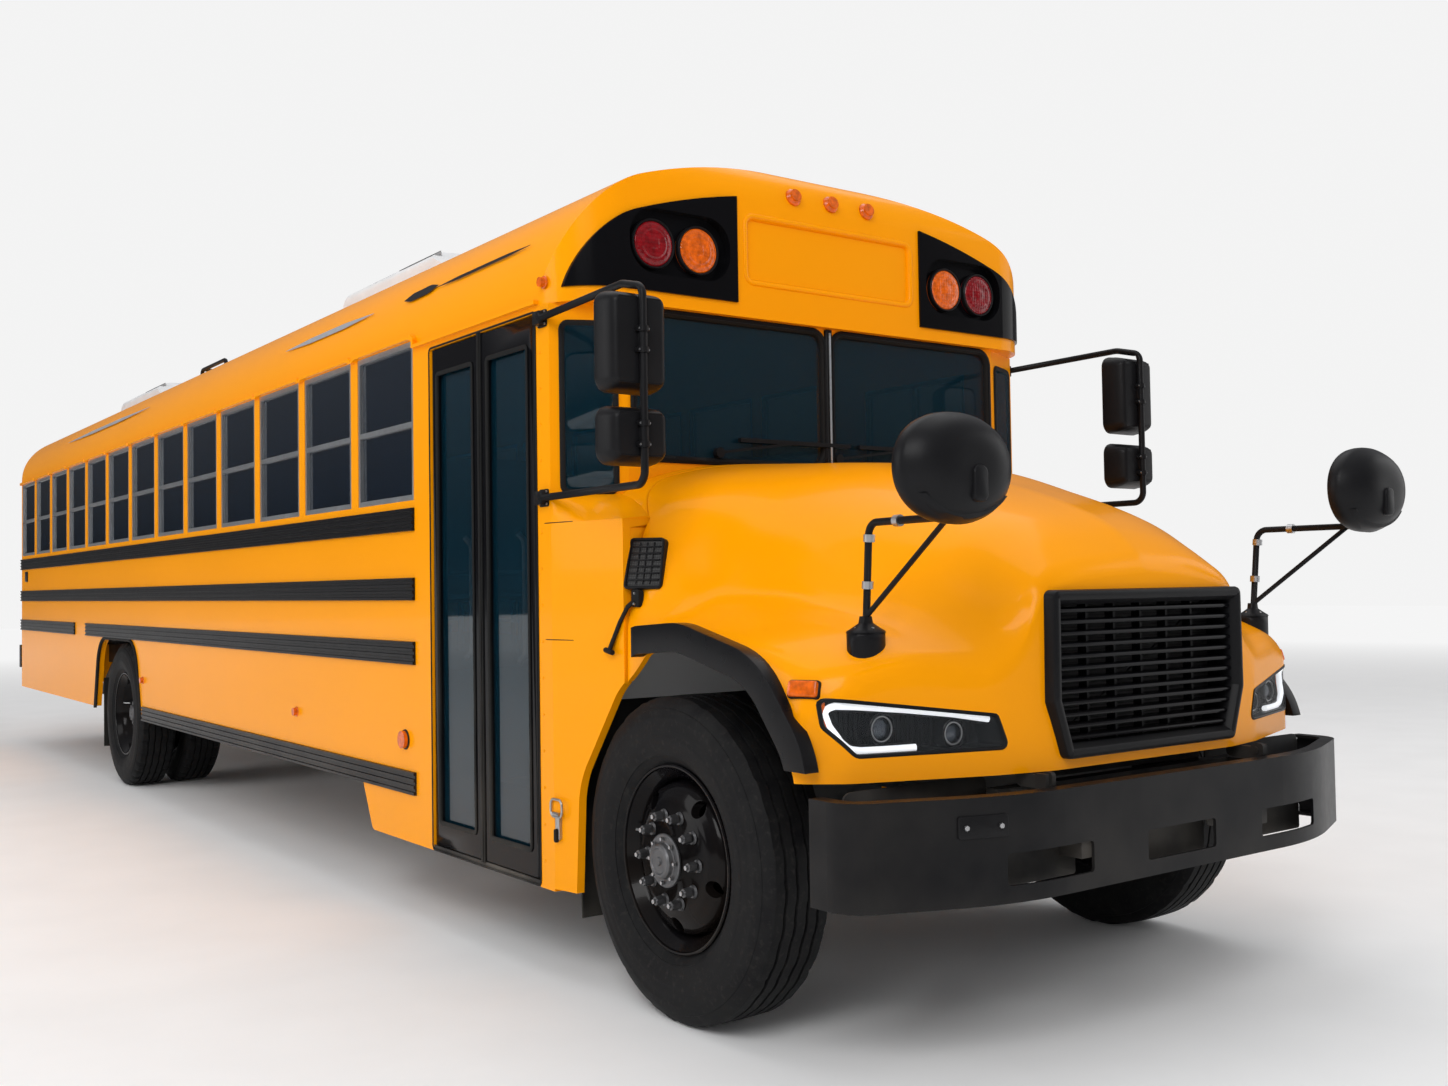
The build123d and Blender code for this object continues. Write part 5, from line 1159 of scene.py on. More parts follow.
def make_headlamp(side, word):
    """Rim, light tube, projectors and amber mark of one headlamp."""
    rim = Body()
    ring = spaced([*lamp_ring(-1.0), lamp_ring(-1.0)[0]], 120)[:-1]
    levels = []
    for inset, deep in ((0, 16), (0, -1), (3, -3), (8, -3), (11, 0), (11, 16)):
        levels.append(along_nose(inset_ring([tuple(p) for p in ring], inset), deep, side))
    rim.grid(levels, closed_rows=True, closed_columns=True)
    rim.make(f"headlamp_rim_{word}", "satin", "hood", "black_plastic", angle=40)

    tube = spaced([(648, 1004), (760, 1024), (900, 1042), (1040, 1056), (1100, 1060), (1118, 1052),
                   (1122, 1036), (1112, 1000), (1088, 958), (1062, 936), (1030, 930), (960, 930), (900, 931),
                   (868, 932)], 70)
    bar = Body()
    line = [along_nose([p], 26 - 13 * min(max((p[0] - 1050) / 45, 0), 1), side)[0] for p in tube]
    bar.tube(line, 10.5, 14)
    bar.make(f"headlamp_light_tube_{word}", "tube", "hood", "clear_lens", angle=60)
    shelf = Body()
    shelf.tube(along_nose(tube, 38, side), 16, 10)
    shelf.make(f"headlamp_tube_shelf_{word}", "satin", "hood", "black_plastic", angle=60)

    for index, (a, b, radius) in enumerate(((960, 988, 37), (748, 966, 33))):
        centre = Vector(along_nose([(a, b)], 34, side)[0])
        out = Vector((side * 0.10, -1, 0)).normalized()
        cup = Body()
        rows = [(-42, radius + 12), (4, radius + 12), (7, radius + 9), (6, radius + 5), (-4, radius),
                (-42, radius)]
        cup.lathe(rows, centre, out, 40)
        cup.make(f"headlamp_bezel_{index}_{word}", "gloss", "hood", "black_plastic", angle=30)
        ring = Body()
        ring.lathe([(-2, radius + 1), (1, radius + 0.5), (1, radius - 3), (-4, radius - 3)], centre, out, 40)
        ring.make(f"headlamp_ring_{index}_{word}", "steel", "hood", "bright_steel", angle=30)
        ball = Body()
        profile = [(-40, radius - 1)] + [(-26 + (radius * 0.62) * math.sin(t), (radius - 3) * math.cos(t))
                                         for t in np.linspace(0, math.pi / 2 * 0.98, 10)]
        ball.dome(profile, centre, out, 40)
        ball.make(f"headlamp_projector_{index}_{word}", "projector", "hood", "clear_lens", angle=60)
    mark = Body()
    wedge = fillet_ring([(1092, 940), (1132, 988), (1140, 1066), (1126, 1072), (1128, 1030), (1112, 990),
                         (1084, 950)])
    points = [along_nose(spaced([*wedge, wedge[0]], 60)[:-1], deep, side) for deep in (30, 5)]
    mark.loft(points)
    mark.make(f"headlamp_amber_{word}", "amber", "hood", "amber_lens", angle=40)
    ribs = Body()
    for a in range(660, 1060, 14):
        low = 922
        high = 1012 + (a - 640) * 0.105
        ribs.tube(along_nose([(a, low + 8), (a, (low + high) / 2), (a, high - 6)], 80, side), 3, 6)
    ribs.make(f"headlamp_back_ribs_{word}", "gloss", "hood", "black_plastic", angle=60)


# ------------------------------------------------------------------ mirrors
MIRROR_X = 1262
MIRROR_HEADS = ((2030, 2362), (1796, 1990))  # low and high edge of each housing


def head_rows(deep_low, deep_high):
    """Levels of a mirror housing: depth, shrink."""
    deep = deep_high - deep_low
    rows = [(deep_high - 3, 13), (deep_high, 10), (deep_high, 5), (deep_high - 3, 1), (deep_high - 12, 0)]
    for t in np.linspace(0, 1, 9)[1:]:
        turn = t * math.pi / 2
        rows.append((deep_high - 12 - (deep - 12) * math.sin(turn), 34 * (1 - math.cos(turn)) + 2))
    return rows


def make_side_mirrors(side, word):
    """Housings, glass and clamps beside the windshield."""
    arms = copy_of("side_mirrors", f"side_mirror_arms_{word}", "satin")
    wall = [(-side * 1500, -7000), (0, -7000), (0, 0), (-side * 1500, 0)]
    cut(arms, prism("half", wall if side > 0 else wall[::-1], "z", 1000, 3000))
    x = side * MIRROR_X
    for low, high in MIRROR_HEADS:
        box = [(x - 119, low - 1), (x + 119, low - 1), (x + 119, high + 1), (x - 119, high + 1)]
        cut(arms, prism("head", box, "y", -5121.5, -5019))
    smooth(arms, 35)
    for index, (low, high) in enumerate(MIRROR_HEADS):
        ring = rounded_ring(x - 117, x + 117, low + 1, high - 1, 46, 8)
        shell = Body()
        levels = [[to_front(a, b, y) for a, b in inset_ring(ring, shrink)]
                  for y, shrink in head_rows(-5120, -5020)]
        shell.loft(levels)
        shell.make(f"side_mirror_shell_{index}_{word}", "satin", "body", "black_plastic", angle=50)
        face = Body()
        face.slab(inset_ring(ring, 13), REAR_AXES, -5024, -5020.5, 1)
        face.make(f"side_mirror_glass_{index}_{word}", "mirror", "body", "bright_steel", angle=30)
        rib = Body()
        for z in (low + 30, high - 30):
            rib.slab(rounded_ring(x - 80, x + 80, z - 3, z + 3, 2.9, 4),
                     REAR_AXES, -5119, -5112, 2)
        rib.make(f"side_mirror_ribs_{index}_{word}", "satin", "body", "black_plastic", angle=40)
        middle = (low + high) / 2
        clamp = Body()
        for z in (middle - 34, middle + 34):
            clamp.tube([(x, -5133, z - 9), (x, -5133, z + 9)], 19, 20)
            clamp.slab(rounded_ring(x - 24, x + 24, z - 9, z + 9, 6, 4),
                       REAR_AXES, -5136, -5108, 2)
        clamp.make(f"side_mirror_clamps_{index}_{word}", "satin", "body", "black_plastic", angle=40)
        places = [(x + dx, -5138, middle + dz) for dx in (-17, 17) for dz in (-34, 34)]
        bolts(f"side_mirror_bolts_{index}_{word}", "body", places, (0, -1, 0), 4.5, 4)
    pads = Body()
    for z in (2388, 1733):
        pads.slab(rounded_ring(-4430, -4362, z - 32, z + 32, 10), side_axes(side),
                  1219.2, 1224, 1.5)
    pads.make(f"side_mirror_pads_{word}", "rubber", "body", "black_plastic", angle=40)
    places = [(side * 1225.5, y, z + dz) for z in (2388, 1733) for y in (-4423, -4369) for dz in (-22, 22)]
    bolts(f"side_mirror_mount_bolts_{word}", "body", places, (side, 0, 0), 5, 4)


def make_crossover(side, word):
    """Round mirror that stands on the fender."""
    x, z = side * 1017, 1706
    parts = copy_of("crossover_mirrors", f"crossover_arms_{word}", "satin")
    wall = [(-side * 1500, -7000), (0, -7000), (0, 0), (-side * 1500, 0)]
    cut(parts, prism("half", wall if side > 0 else wall[::-1], "z", 800, 3000))
    box = [(x - 230, 1633), (x + 230, 1633), (x + 230, 1900), (x - 230, 1900)]
    cut(parts, prism("head", box, "y", -6400, -6215))
    low = [(x - 230, 1500), (x + 230, 1500), (x + 230, 1640), (x - 230, 1640)]
    cut(parts, prism("head", low, "y", -6400, -6300))
    smooth(parts, 35)
    shell = Body()
    levels = []
    for t in np.linspace(0.06, 1, 12):
        share = math.sin(t * math.pi / 2)
        levels.append((-6338 + 70 * share ** 4, share * 0.975))
    levels += [(-6262, 0.99), (-6254, 1.0), (-6240, 1.0), (-6228, 0.985), (-6224, 0.97), (-6226, 0.945),
               (-6232, 0.935)]
    rings = [[to_front(a, b, depth) for a, b in oval_ring(x, z, 203 * share, 148 * share, 2.15, 72)]
             for depth, share in levels]
    shell.loft(rings)
    shell.make(f"crossover_shell_{word}", "satin", "hood", "black_plastic", angle=50)
    face = Body()
    rings = [[to_front(a, b, depth) for a, b in oval_ring(x, z, 190 * share, 137 * share, 2.15, 72)]
             for depth, share in ((-6236, 1.0), (-6230, 0.98), (-6224, 0.8), (-6223.5, 0.4))]
    face.loft(rings)
    face.make(f"crossover_glass_{word}", "mirror", "hood", "bright_steel", angle=50)
    socket = Body()
    rows = [(-20, 1), (-20, 24), (-6, 30), (8, 34), (14, 34), (18, 28), (18, 1)]
    socket.lathe(rows, (x - side * 12, -6300, 1646), (0, -0.35, 0.94), 28)
    socket.tube([(x - side * 12, -6286, 1600), (x - side * 12, -6298, 1648), (x - side * 6, -6330, 1690)], 15,
                16)
    socket.slab(rounded_ring(x - side * 8 - 26, x - side * 8 + 26, 1612, 1708, 20), FRONT_AXES, 6316, 6346, 8)
    socket.make(f"crossover_socket_{word}", "satin", "hood", "black_plastic", angle=40)
    clamps = Body()
    for a, b, c, way in ((962.5, -5846, 1400, (0.01, -0.08, 1)), (965, -5859, 1535, (0.01, -0.08, 1)),
                         (1004, -6281, 1612, (0.1, -0.3, 1)), (974, -5990, 1580, (0.05, -1, 0))):
        way = Vector((side * way[0], way[1], way[2])).normalized()
        middle = Vector((side * a, b, c))
        clamps.tube([middle - way * 11, middle - way * 8, middle + way * 8, middle + way * 11], 17, 20)
    clamps.make(f"crossover_clamps_{word}", "steel", "hood", "bright_steel", angle=40)
    boot = Body()
    base = []
    for c, grow in ((1262, 0), (1268, -4), (1273, -12), (1290, -38), (1310, -44)):
        base.append([(a, b, c) for a,
                     b in oval_ring(side * 962, -5834, 62 + grow, max(48 + grow, 15), 2.4, 40)])
    boot.loft(base)
    boot.make(f"crossover_boot_{word}", "satin", "hood", "black_plastic", angle=40)
    places = [(side * 962 + dx, -5834 + dy, 1272) for dx, dy in ((-40, 0), (40, 0), (0, -30), (0, 30))]
    bolts(f"crossover_boot_bolts_{word}", "hood", places, (0, 0, 1), 5, 7)


# ------------------------------------------------------------------ lamps
# y, z and radius of the markers on each side
MARKERS = ((-3127, 758, 38), (-1743, 791, 20), (1406, 808, 20), (-4410, 2519, 18))


def make_lamp(name, finish, x, z, y, radius, sense, body="body", rise=14, slot="red_lens"):
    """Round lamp on the front or the rear: a domed lens in a black bezel."""
    out = (0, sense, 0)
    bezel = Body()
    rows = [(-14, radius + 3), (4, radius + 3), (8, radius), (8, radius - 4), (3, radius - 7),
            (-14, radius - 7)]
    bezel.lathe(rows, (x, y, z), out, 64)
    bezel.make(f"{name}_bezel", "satin", body, "black_plastic", angle=30)
    glass = Body()
    profile = [(-2, radius - 5)]
    for t in np.linspace(0, 1, 16)[:-1]:
        r = (radius - 6) * math.cos(t * math.pi / 2)
        ripple = 1.1 * math.cos(r / (radius / 9) * 2 * math.pi)
        profile.append((rise * math.sin(t * math.pi / 2) + ripple, r))
    profile.append((rise, 1.0))
    glass.dome(profile, (x, y, z), out, 60)
    made = glass.make(f"{name}_lens", finish, body, slot, angle=18)
    return made


def make_lamps():
    """Warning, tail, side and roof lamps."""
    for side, word in SIDES:
        for x, finish in ((858, "red"), (655, "amber")):
            slot = f"{finish}_lens"
            make_lamp(f"warning_{finish}_front_{word}", finish, side * x, 2672, -4586, 91, -1, slot=slot)
            make_lamp(f"warning_{finish}_rear_{word}", finish, side * x, 2672, 6116, 91, 1, slot=slot)
        for index, (x, z, radius) in enumerate(((885, 1520, 86), (1085, 1520, 86), (985, 1240, 57))):
            make_lamp(f"tail_{index}_{word}", "red", side * x, z, 6152.5, radius, 1, rise=6)
        for index, (y, z, radius) in enumerate(MARKERS):
            base = Body()
            base.lathe([(1219.3, radius + 6), (1223, radius + 5), (1225, radius + 1), (1225, 0.5),
                        (1219.3, 0.5)],
                       (0, y, z), (side, 0, 0), 40)
            finish = "satin" if radius > 30 else "amber"
            base.make(f"marker_base_{index}_{word}", finish, "body", "amber_lens", angle=30)
        shade = Body()
        centre, out = Vector((side * 1157, -5786, 1106)), Vector((side * 0.86, -0.40, 0.30)).normalized()
        across = Vector((side * 0.42, 0.90, 0)).normalized()
        across = (across - out * across.dot(out)).normalized()
        rise = out.cross(across) * side
        shade.slab(rounded_ring(-50, 50, -27, 27, 10), (centre, across, rise, out), -26, 7, 2)
        shade.make(f"fender_lamp_base_{word}", "satin", "hood", "black_plastic", angle=40)
        lensed = Body()
        lensed.slab(rounded_ring(-46, 46, -23, 23, 8), (centre, across, rise, out), 4, 20, 6)
        lensed.make(f"fender_lamp_lens_{word}", "amber", "hood", "amber_lens", angle=30)
    for index, x in enumerate((-194, 0, 194)):
        dome = Body()
        tilt = math.radians(15)
        centre = (x, -4600 + 170 - 170 * math.cos(tilt), 3070 - 170 + 170 * math.sin(tilt))
        profile = [(0, 36), (6, 35), (10, 31), (16, 27), (21, 20), (24, 10), (24.5, 1)]
        dome.dome(profile, centre, (0, -math.cos(tilt), math.sin(tilt)), 36)
        dome.make(f"brow_marker_{index}", "amber", "body", "amber_lens", angle=24)


# ------------------------------------------------------------------ windshield and doors
def make_screen_trim():
    """Rubbers, beads and pillar of the windshield."""
    for side, word in SIDES:
        ring = rounded_ring(side * 478.5 - 456.5, side * 478.5 + 456.5, 1880, 2425, 60, 10)
        profile = [(-15, -4561), (-15, -4566), (-11, -4570), (-4, -4571), (6, -4569), (12, -4562),
                   (14, -4549), (0, -4546)]
        frame_bar(ring, profile, to_front).make(f"screen_rubber_{word}", "rubber", "body", "black_plastic",
                                                angle=40)
        bead = [(-3, -4570), (-3, -4573.5), (3, -4573.5), (3, -4570)]
        frame_bar(ring, bead, to_front).make(f"screen_bead_{word}", "satin", "body", "black_plastic",
                                             angle=40)
        turn = math.radians(24.86)
        centre = Vector((side * (1219 + 960) / 2, (-4440 - 4560) / 2, 0))
        along = Vector((math.cos(turn), side * math.sin(turn), 0))
        out = Vector((side * math.sin(turn), -math.cos(turn), 0))

        def place(a, b, depth):
            return centre + along * a + Vector((0, 0, b)) + out * depth
        quarter = rounded_ring(-95, 95, 1755, 2366, 22, 6)
        rows = [(-13, 0), (-13, 5), (-8, 9), (3, 9), (9, 5), (11, -5), (0, -7)]
        frame_bar(quarter, rows, place).make(f"quarter_rubber_{word}", "rubber", "body", "black_plastic",
                                             angle=40)
    pillar = Body()
    section = [(-17, -4561), (-17, -4571), (-12, -4576), (12, -4576), (17, -4571), (17, -4561)]
    rows = [[(a, y, z) for a, y in section] for z in (1868, 2436)]
    pillar.loft(rows)
    pillar.make("screen_pillar", "satin", "body", "black_plastic", angle=30)
    strip = Body()
    strip.slab(rounded_ring(-5, 5, 1880, 2424, 3, 3), FRONT_AXES, 4575, 4578.5, 1)
    strip.make("screen_pillar_strip", "sash", "body", "sash_metal", angle=30)
    screws = [(0, -4578.5, z) for z in range(1900, 2420, 86)]
    scatter("screen_pillar_screws", "steel", "body", screws, (0, -1, 0), 3, 2, 8, True)


DOOR_LEAVES = (("entry_leaf_front", "entry_front"), ("entry_leaf_rear", "entry_rear"))


def make_doors():
    """Frames, rubbers and bars of the entrance doors."""
    for node, word in DOOR_LEAVES:
        low, high = span(node)
        leaf = copy_of(node, f"{word}_frame", "gloss")
        glass_low, glass_high = span(node.replace("leaf", "glass"))
        ring = rounded_ring(glass_low.y, glass_high.y, glass_low.z, glass_high.z, 14, 6)

        def place(a, b, depth):
            return (-depth, a, b)
        profile = [(-10, 1218.5), (-10, 1221), (-6, 1223.5), (2, 1223), (7, 1219), (7, 1212), (0, 1210)]
        frame_bar(ring, profile, place).make(f"{word}_rubber", "rubber", node, "black_plastic", angle=40)
        edge, reach = (low.y, 12) if word == "entry_rear" else (high.y, 2)
        seal = Body()
        seal.slab(rounded_ring(edge - 12, edge + reach, low.z + 8, high.z - 8, 4, 4),
                  side_axes(-1), 1205, 1222, 3)
        seal.make(f"{word}_edge_seal", "rubber", node, "black_plastic", angle=40)
        bar = Body()
        middle = (low.y + high.y) / 2
        bar.tube([(-1178, middle, 1120), (-1150, middle, 1150), (-1146, middle, 1180), (-1146, middle, 1560),
                  (-1150, middle, 1590), (-1178, middle, 1620)], 12, 12)
        bar.make(f"{word}_grab_bar", "steel", node, "bright_steel", angle=40)
    ring = rounded_ring(-4334 - 1, -3412 + 1, 330, 2417 + 1, 14, 6)
    profile = [(-9, 1219.2), (-9, 1222), (-5, 1224), (-1, 1222), (-1, 1219.2)]
    frame_bar(ring, profile, lambda a, b, depth: (-depth, a, b)).make(
        "entry_opening_seal", "rubber", "body", "black_plastic", angle=40)
    rivets = [(-1219.8, -4372, z) for z in range(420, 2400, 132)]
    scatter("entry_post_rivets", "yellow", "body", rivets, (-1, 0, 0), 6, 3, 12, False)


# ------------------------------------------------------------------ small parts of the body
def on_roof(y, z, proud, side):
    """Point on the round edge of the roof, lifted by proud."""
    tilt = math.asin((z - 2516) / 450)
    reach = 450 + proud
    return (side * (769 + reach * math.cos(tilt)), y, 2516 + reach * math.sin(tilt))


def flat_place(corners, side):
    """Frame of a nearly flat patch: its ring and a function from (a, b, depth) to a point."""
    corners = [Vector((side * -c[0], c[1], c[2])) for c in corners]
    middle = sum(corners, Vector()) / 4
    along = ((corners[1] - corners[0]) + (corners[2] - corners[3])).normalized()
    up = (corners[0] - corners[3]) + (corners[1] - corners[2])
    up = (up - along * up.dot(along)).normalized()
    out = along.cross(up)
    if out.x * side < 0:
        out = -out
    ring = [((c - middle).dot(along), (c - middle).dot(up)) for c in corners]
    return ring, (middle, along, up, out)


def across(ring, level):
    """Least and greatest first coordinate of a ring at one level of the second."""
    found = []
    for (a0, b0), (a1, b1) in zip(ring, np.roll(ring, -1, axis=0)):
        if (b0 - level) * (b1 - level) <= 0 and b0 != b1:
            found.append(a0 + (a1 - a0) * (level - b0) / (b1 - b0))
    return min(found), max(found)


def make_hood_vent(side, word):
    """Barred vent in the hood's flank."""
    corners = [(-1114, -4806, 1574), (-1034, -4925, 1566), (-1090, -4958, 1398), (-1130, -4806, 1394)]
    ring, axes = flat_place(corners, side)
    middle, along, up, out = axes
    ring = fillet_ring([(*p, 16) for p in ring], 6)
    profile = [(0, -12), (0, 12), (3, 15), (8, 15), (11, 11), (11, -12)]
    frame_bar(ring, profile, lambda a, b, depth: middle + along * a + up * b + out * depth).make(
        f"hood_vent_frame_{word}", "satin", "hood", "black_plastic", angle=40)
    Body().slab(inset_ring(ring, 9), axes, -6, 8).make(f"hood_vent_mesh_{word}", "vent", "hood",
                                                       "black_plastic")
    bars = Body()
    inner = np.array(inset_ring(ring, 10))
    for b in np.linspace(inner[:, 1].min() + 22, inner[:, 1].max() - 22, 6):
        low, high = across(inner, b)
        low, high = low + 4, high - 4
        bars.slab(rounded_ring(low, high, b - 3, b + 3, 2.5, 3), axes, 6, 12, 1)
    for a in (-28, 0, 28):
        bars.slab(rounded_ring(a - 2, a + 2, inner[:, 1].min() + 6, inner[:, 1].max() - 6, 1.9, 3), axes, 6,
                  11, 1)
    bars.make(f"hood_vent_bars_{word}", "satin", "hood", "black_plastic", angle=30)


def make_shoulder(side, word):
    """Smooth rise from the cowl's ledge to the corner of the windshield."""
    outer = [(1219.2, -4440), (1209, -4490), (1196, -4556), (1179, -4640), (1161, -4730), (1143, -4812)]
    inner = [(1219.2, -4440, 1742), (1125, -4484, 1744), (975, -4552, 1746), (985, -4640, 1724),
             (1008, -4730, 1692), (1028, -4812, 1650)]
    rows = []
    for (a, b), far in zip(spaced(outer, 24), spaced(inner, 24)):
        row = [(a, b, 1610)]
        for t in np.linspace(0, 1, 9):
            swell = math.sin(math.pi * t) * min(float(far[2]) - LEDGE, 90) * 0.22
            rise = LEDGE + (far[2] - LEDGE) * t
            row.append((a + (far[0] - a) * t + swell, b + (far[1] - b) * t, rise + swell))
        row.append((far[0] - 20, far[1] + 5, 1610))
        rows.append([(side * min(p[0], 1219.2), p[1], p[2]) for p in row])
    Body().loft(rows).make(f"cowl_shoulder_{word}", "yellow", "body", "yellow_paint", angle=40)


def make_flares():
    """Fender flares with soft edges."""
    flares = copy_of("fender_flares", "flare_skin", "flare")
    soft = flares.modifiers.new("soft", "BEVEL")
    soft.width = 0.014
    soft.segments = 4
    soft.limit_method = "ANGLE"
    soft.angle_limit = math.radians(50)
    settle(flares)
    smooth(flares, 45)


def make_nose_fittings(side, word):
    """Cowl and arch details of one side, and the painted reflection and highlights on the roof's edge."""
    cheek = Body()
    low, high = sorted((side * 1000, side * 1139))
    cheek.slab([(low, 1300), (high, 1300), (high, LEDGE), (low, LEDGE)], FRONT_AXES, 4800, 4812, 1)
    cheek.make(f"cowl_cheek_{word}", "yellow", "body", "yellow_paint")
    make_hood_vent(side, word)
    make_shoulder(side, word)
    shield = Body()
    low, high = sorted((side * 548, side * 1120))
    shield.slab(rounded_ring(low, high, 540, 822, 30), FRONT_AXES, 5896, 5902, 1)
    shield.make(f"splash_shield_{word}", "chassis", "body", "chassis_steel")
    strap = Body()
    strap.tube([(side * 1126, -4858, 1362), (side * 1144, -4832, 1338), (side * 1156, -4800, 1285),
                (side * 1168, -4768, 1216), (side * 1176, -4758, 1186)], 13, 14, flat=0.55)
    strap.tube([(side * 1178, -4786, 1182), (side * 1176, -4758, 1186), (side * 1172, -4730, 1190)], 9, 14)
    axes = ((side * 1122, -4862, 1366), (0, 1, 0), (0, 0, 1), (side, 0, 0.15))
    strap.slab(rounded_ring(-24, 24, -30, 30, 9), axes, -8, 12, 3)
    strap.make(f"hood_strap_{word}", "rubber", "hood", "black_plastic", angle=40)
    places = [(side * 1135, -4862, 1348), (side * 1133, -4862, 1384)]
    bolts(f"hood_strap_bolts_{word}", "hood", places, (side, 0, 0), 5, 5)
    seams = Body()
    for rows in ([(1219.6, -4396, 1641), (1219.6, -4440, 1641), (1211, -4484, 1641), (1197, -4556, 1641)],
                 [(1219.6, -4396, 1220), (1219.6, -4440, 1220), (1197, -4556, 1220)]):
        seams.tube([(side * a, b, c) for a, b, c in rows], 1.6, 8)
    seams.make(f"cowl_seams_{word}", "rubber", "body", "black_plastic")
    vent = Body()
    axes = side_axes(side)
    vent.slab(rounded_ring(5738, 5852, 1544, 1642, 14), axes, 1216, 1227, 3)
    for z in range(1562, 1630, 13):
        vent.slab(rounded_ring(5752, 5838, z - 3, z + 3, 2.8, 3), axes, 1226, 1230, 1)
    vent.make(f"wall_vent_{word}", "satin", "body", "black_plastic", angle=40)
    trim = Body()
    arch = fillet_ring([(1451, 527), (1451, 540), (1600, 1078, 260), (2734, 1078, 260), (2884, 540),
                        (2884, 527)], 14)
    trim.tube([(side * 1221, a, b) for a, b in arch], 13, 12, flat=0.8)
    trim.make(f"rear_arch_trim_{word}", "rubber", "body", "black_plastic", angle=40)
    # Painted reflection: tapered dark strips in black rail paint on the roof's round edge stand in for a dark
    # band that the roof reflects.
    strip = Body()
    for low, high, start, end in ((2668, 2706, -3080, -3420), (2680, 2694, -3420, -4240)):
        rows = []
        for t in np.linspace(0, 1, 24):
            y = start + (end - start) * t
            shrink = min(1.0, 4 * min(t, 1 - t) + 0.08)
            middle, half = (low + high) / 2 + 10 * t, (high - low) / 2 * shrink
            rows.append([on_roof(y, middle - half, 0.4, side), on_roof(y, middle - half, 1.6, side),
                         on_roof(y, middle + half, 1.6, side), on_roof(y, middle + half, 0.4, side)])
        strip.loft(rows)
    strip.make(f"roof_painted_reflection_{word}", "rail", "body", "black_plastic", angle=30)
    # Painted highlights: tapered pale grey strips on the roof's round edge stand in for the highlight that
    # its curve catches.
    for index, (start, end, z) in enumerate(((-2720, -1500, 2694), (1420, 4180, 2728))):
        painted_sheen = Body()
        rows = []
        for t in np.linspace(0, 1, 30):
            half = 15 * min(1.0, 3 * min(t, 1 - t) + 0.06)
            rows.append([on_roof(start + (end - start) * t, z + da, lift, side)
                         for da, lift in ((-half, 0.4), (-half, 1.2), (half, 1.2), (half, 0.4))])
        painted_sheen.loft(rows)
        painted_sheen.make(f"roof_band_{index}_{word}", "grey", "body", "white_plastic", angle=30)


def make_front_fittings():
    """Sign rim, bumper plate, backs, cowl slot and latch."""
    rim = rounded_ring(-441, 441, 2575, 2841, 40, 8)
    profile = [(-9, -4599), (-7, -4603), (-1, -4606), (6, -4605), (12, -4600), (18, -4590), (18, -4586),
               (-9, -4586)]
    frame_bar(rim, profile, to_front).make("sign_rim", "yellow", "body", "yellow_paint", angle=50)
    plate = Body()
    turn = math.atan2(32, 104)
    along, out = Vector((math.cos(turn), -math.sin(turn), 0)), Vector((-math.sin(turn), -math.cos(turn), 0))
    axes = ((-834, -6156, 0), along, (0, 0, 1), out)
    plate.slab(rounded_ring(-78, 78, 700, 762, 8), axes, -6, 5, 1.5)
    plate.make("bumper_plate", "satin", "body", "black_plastic", angle=40)
    places = [Vector((a, b, 731)) + out * 6 for a, b in ((-886, -6140), (-782, -6172))]
    bolts("bumper_bolts", "body", places, out, 9, 6)
    backs = Body()
    for low, high, y in ((-790, -390, 6098), (-200, 200, 6128), (390, 790, 6098)):
        backs.slab(rounded_ring(low, high, 536, 676, 10), FRONT_AXES, y, y + 6, 1)
    backs.make("bumper_backs", "chassis", "body", "chassis_steel")
    slot = Body()
    slot.slab(rounded_ring(-757, -621, 1874, 1890, 6), FRONT_AXES, 4562, 4574, 2)
    slot.make("cowl_slot", "satin", "body", "black_plastic", angle=40)
    ring = rounded_ring(-4508, -4428, 590, 652, 22, 8)
    latch = Body()
    latch.tube([(-1226, a, b) for a, b in [*ring, ring[0]]], 4.5, 10, caps=False)
    latch.slab(rounded_ring(-4482, -4454, 508, 604, 8), side_axes(-1), 1208, 1224, 4)
    latch.tube([(-1226, -4488, 600), (-1226, -4448, 600)], 7, 12)
    latch.make("step_latch", "steel", "body", "bright_steel", angle=40)
    grip = Body()
    grip.slab(rounded_ring(-4477, -4459, 500, 548, 7), side_axes(-1), 1222, 1234, 4)
    grip.make("step_latch_grip", "rubber", "body", "black_plastic", angle=40)


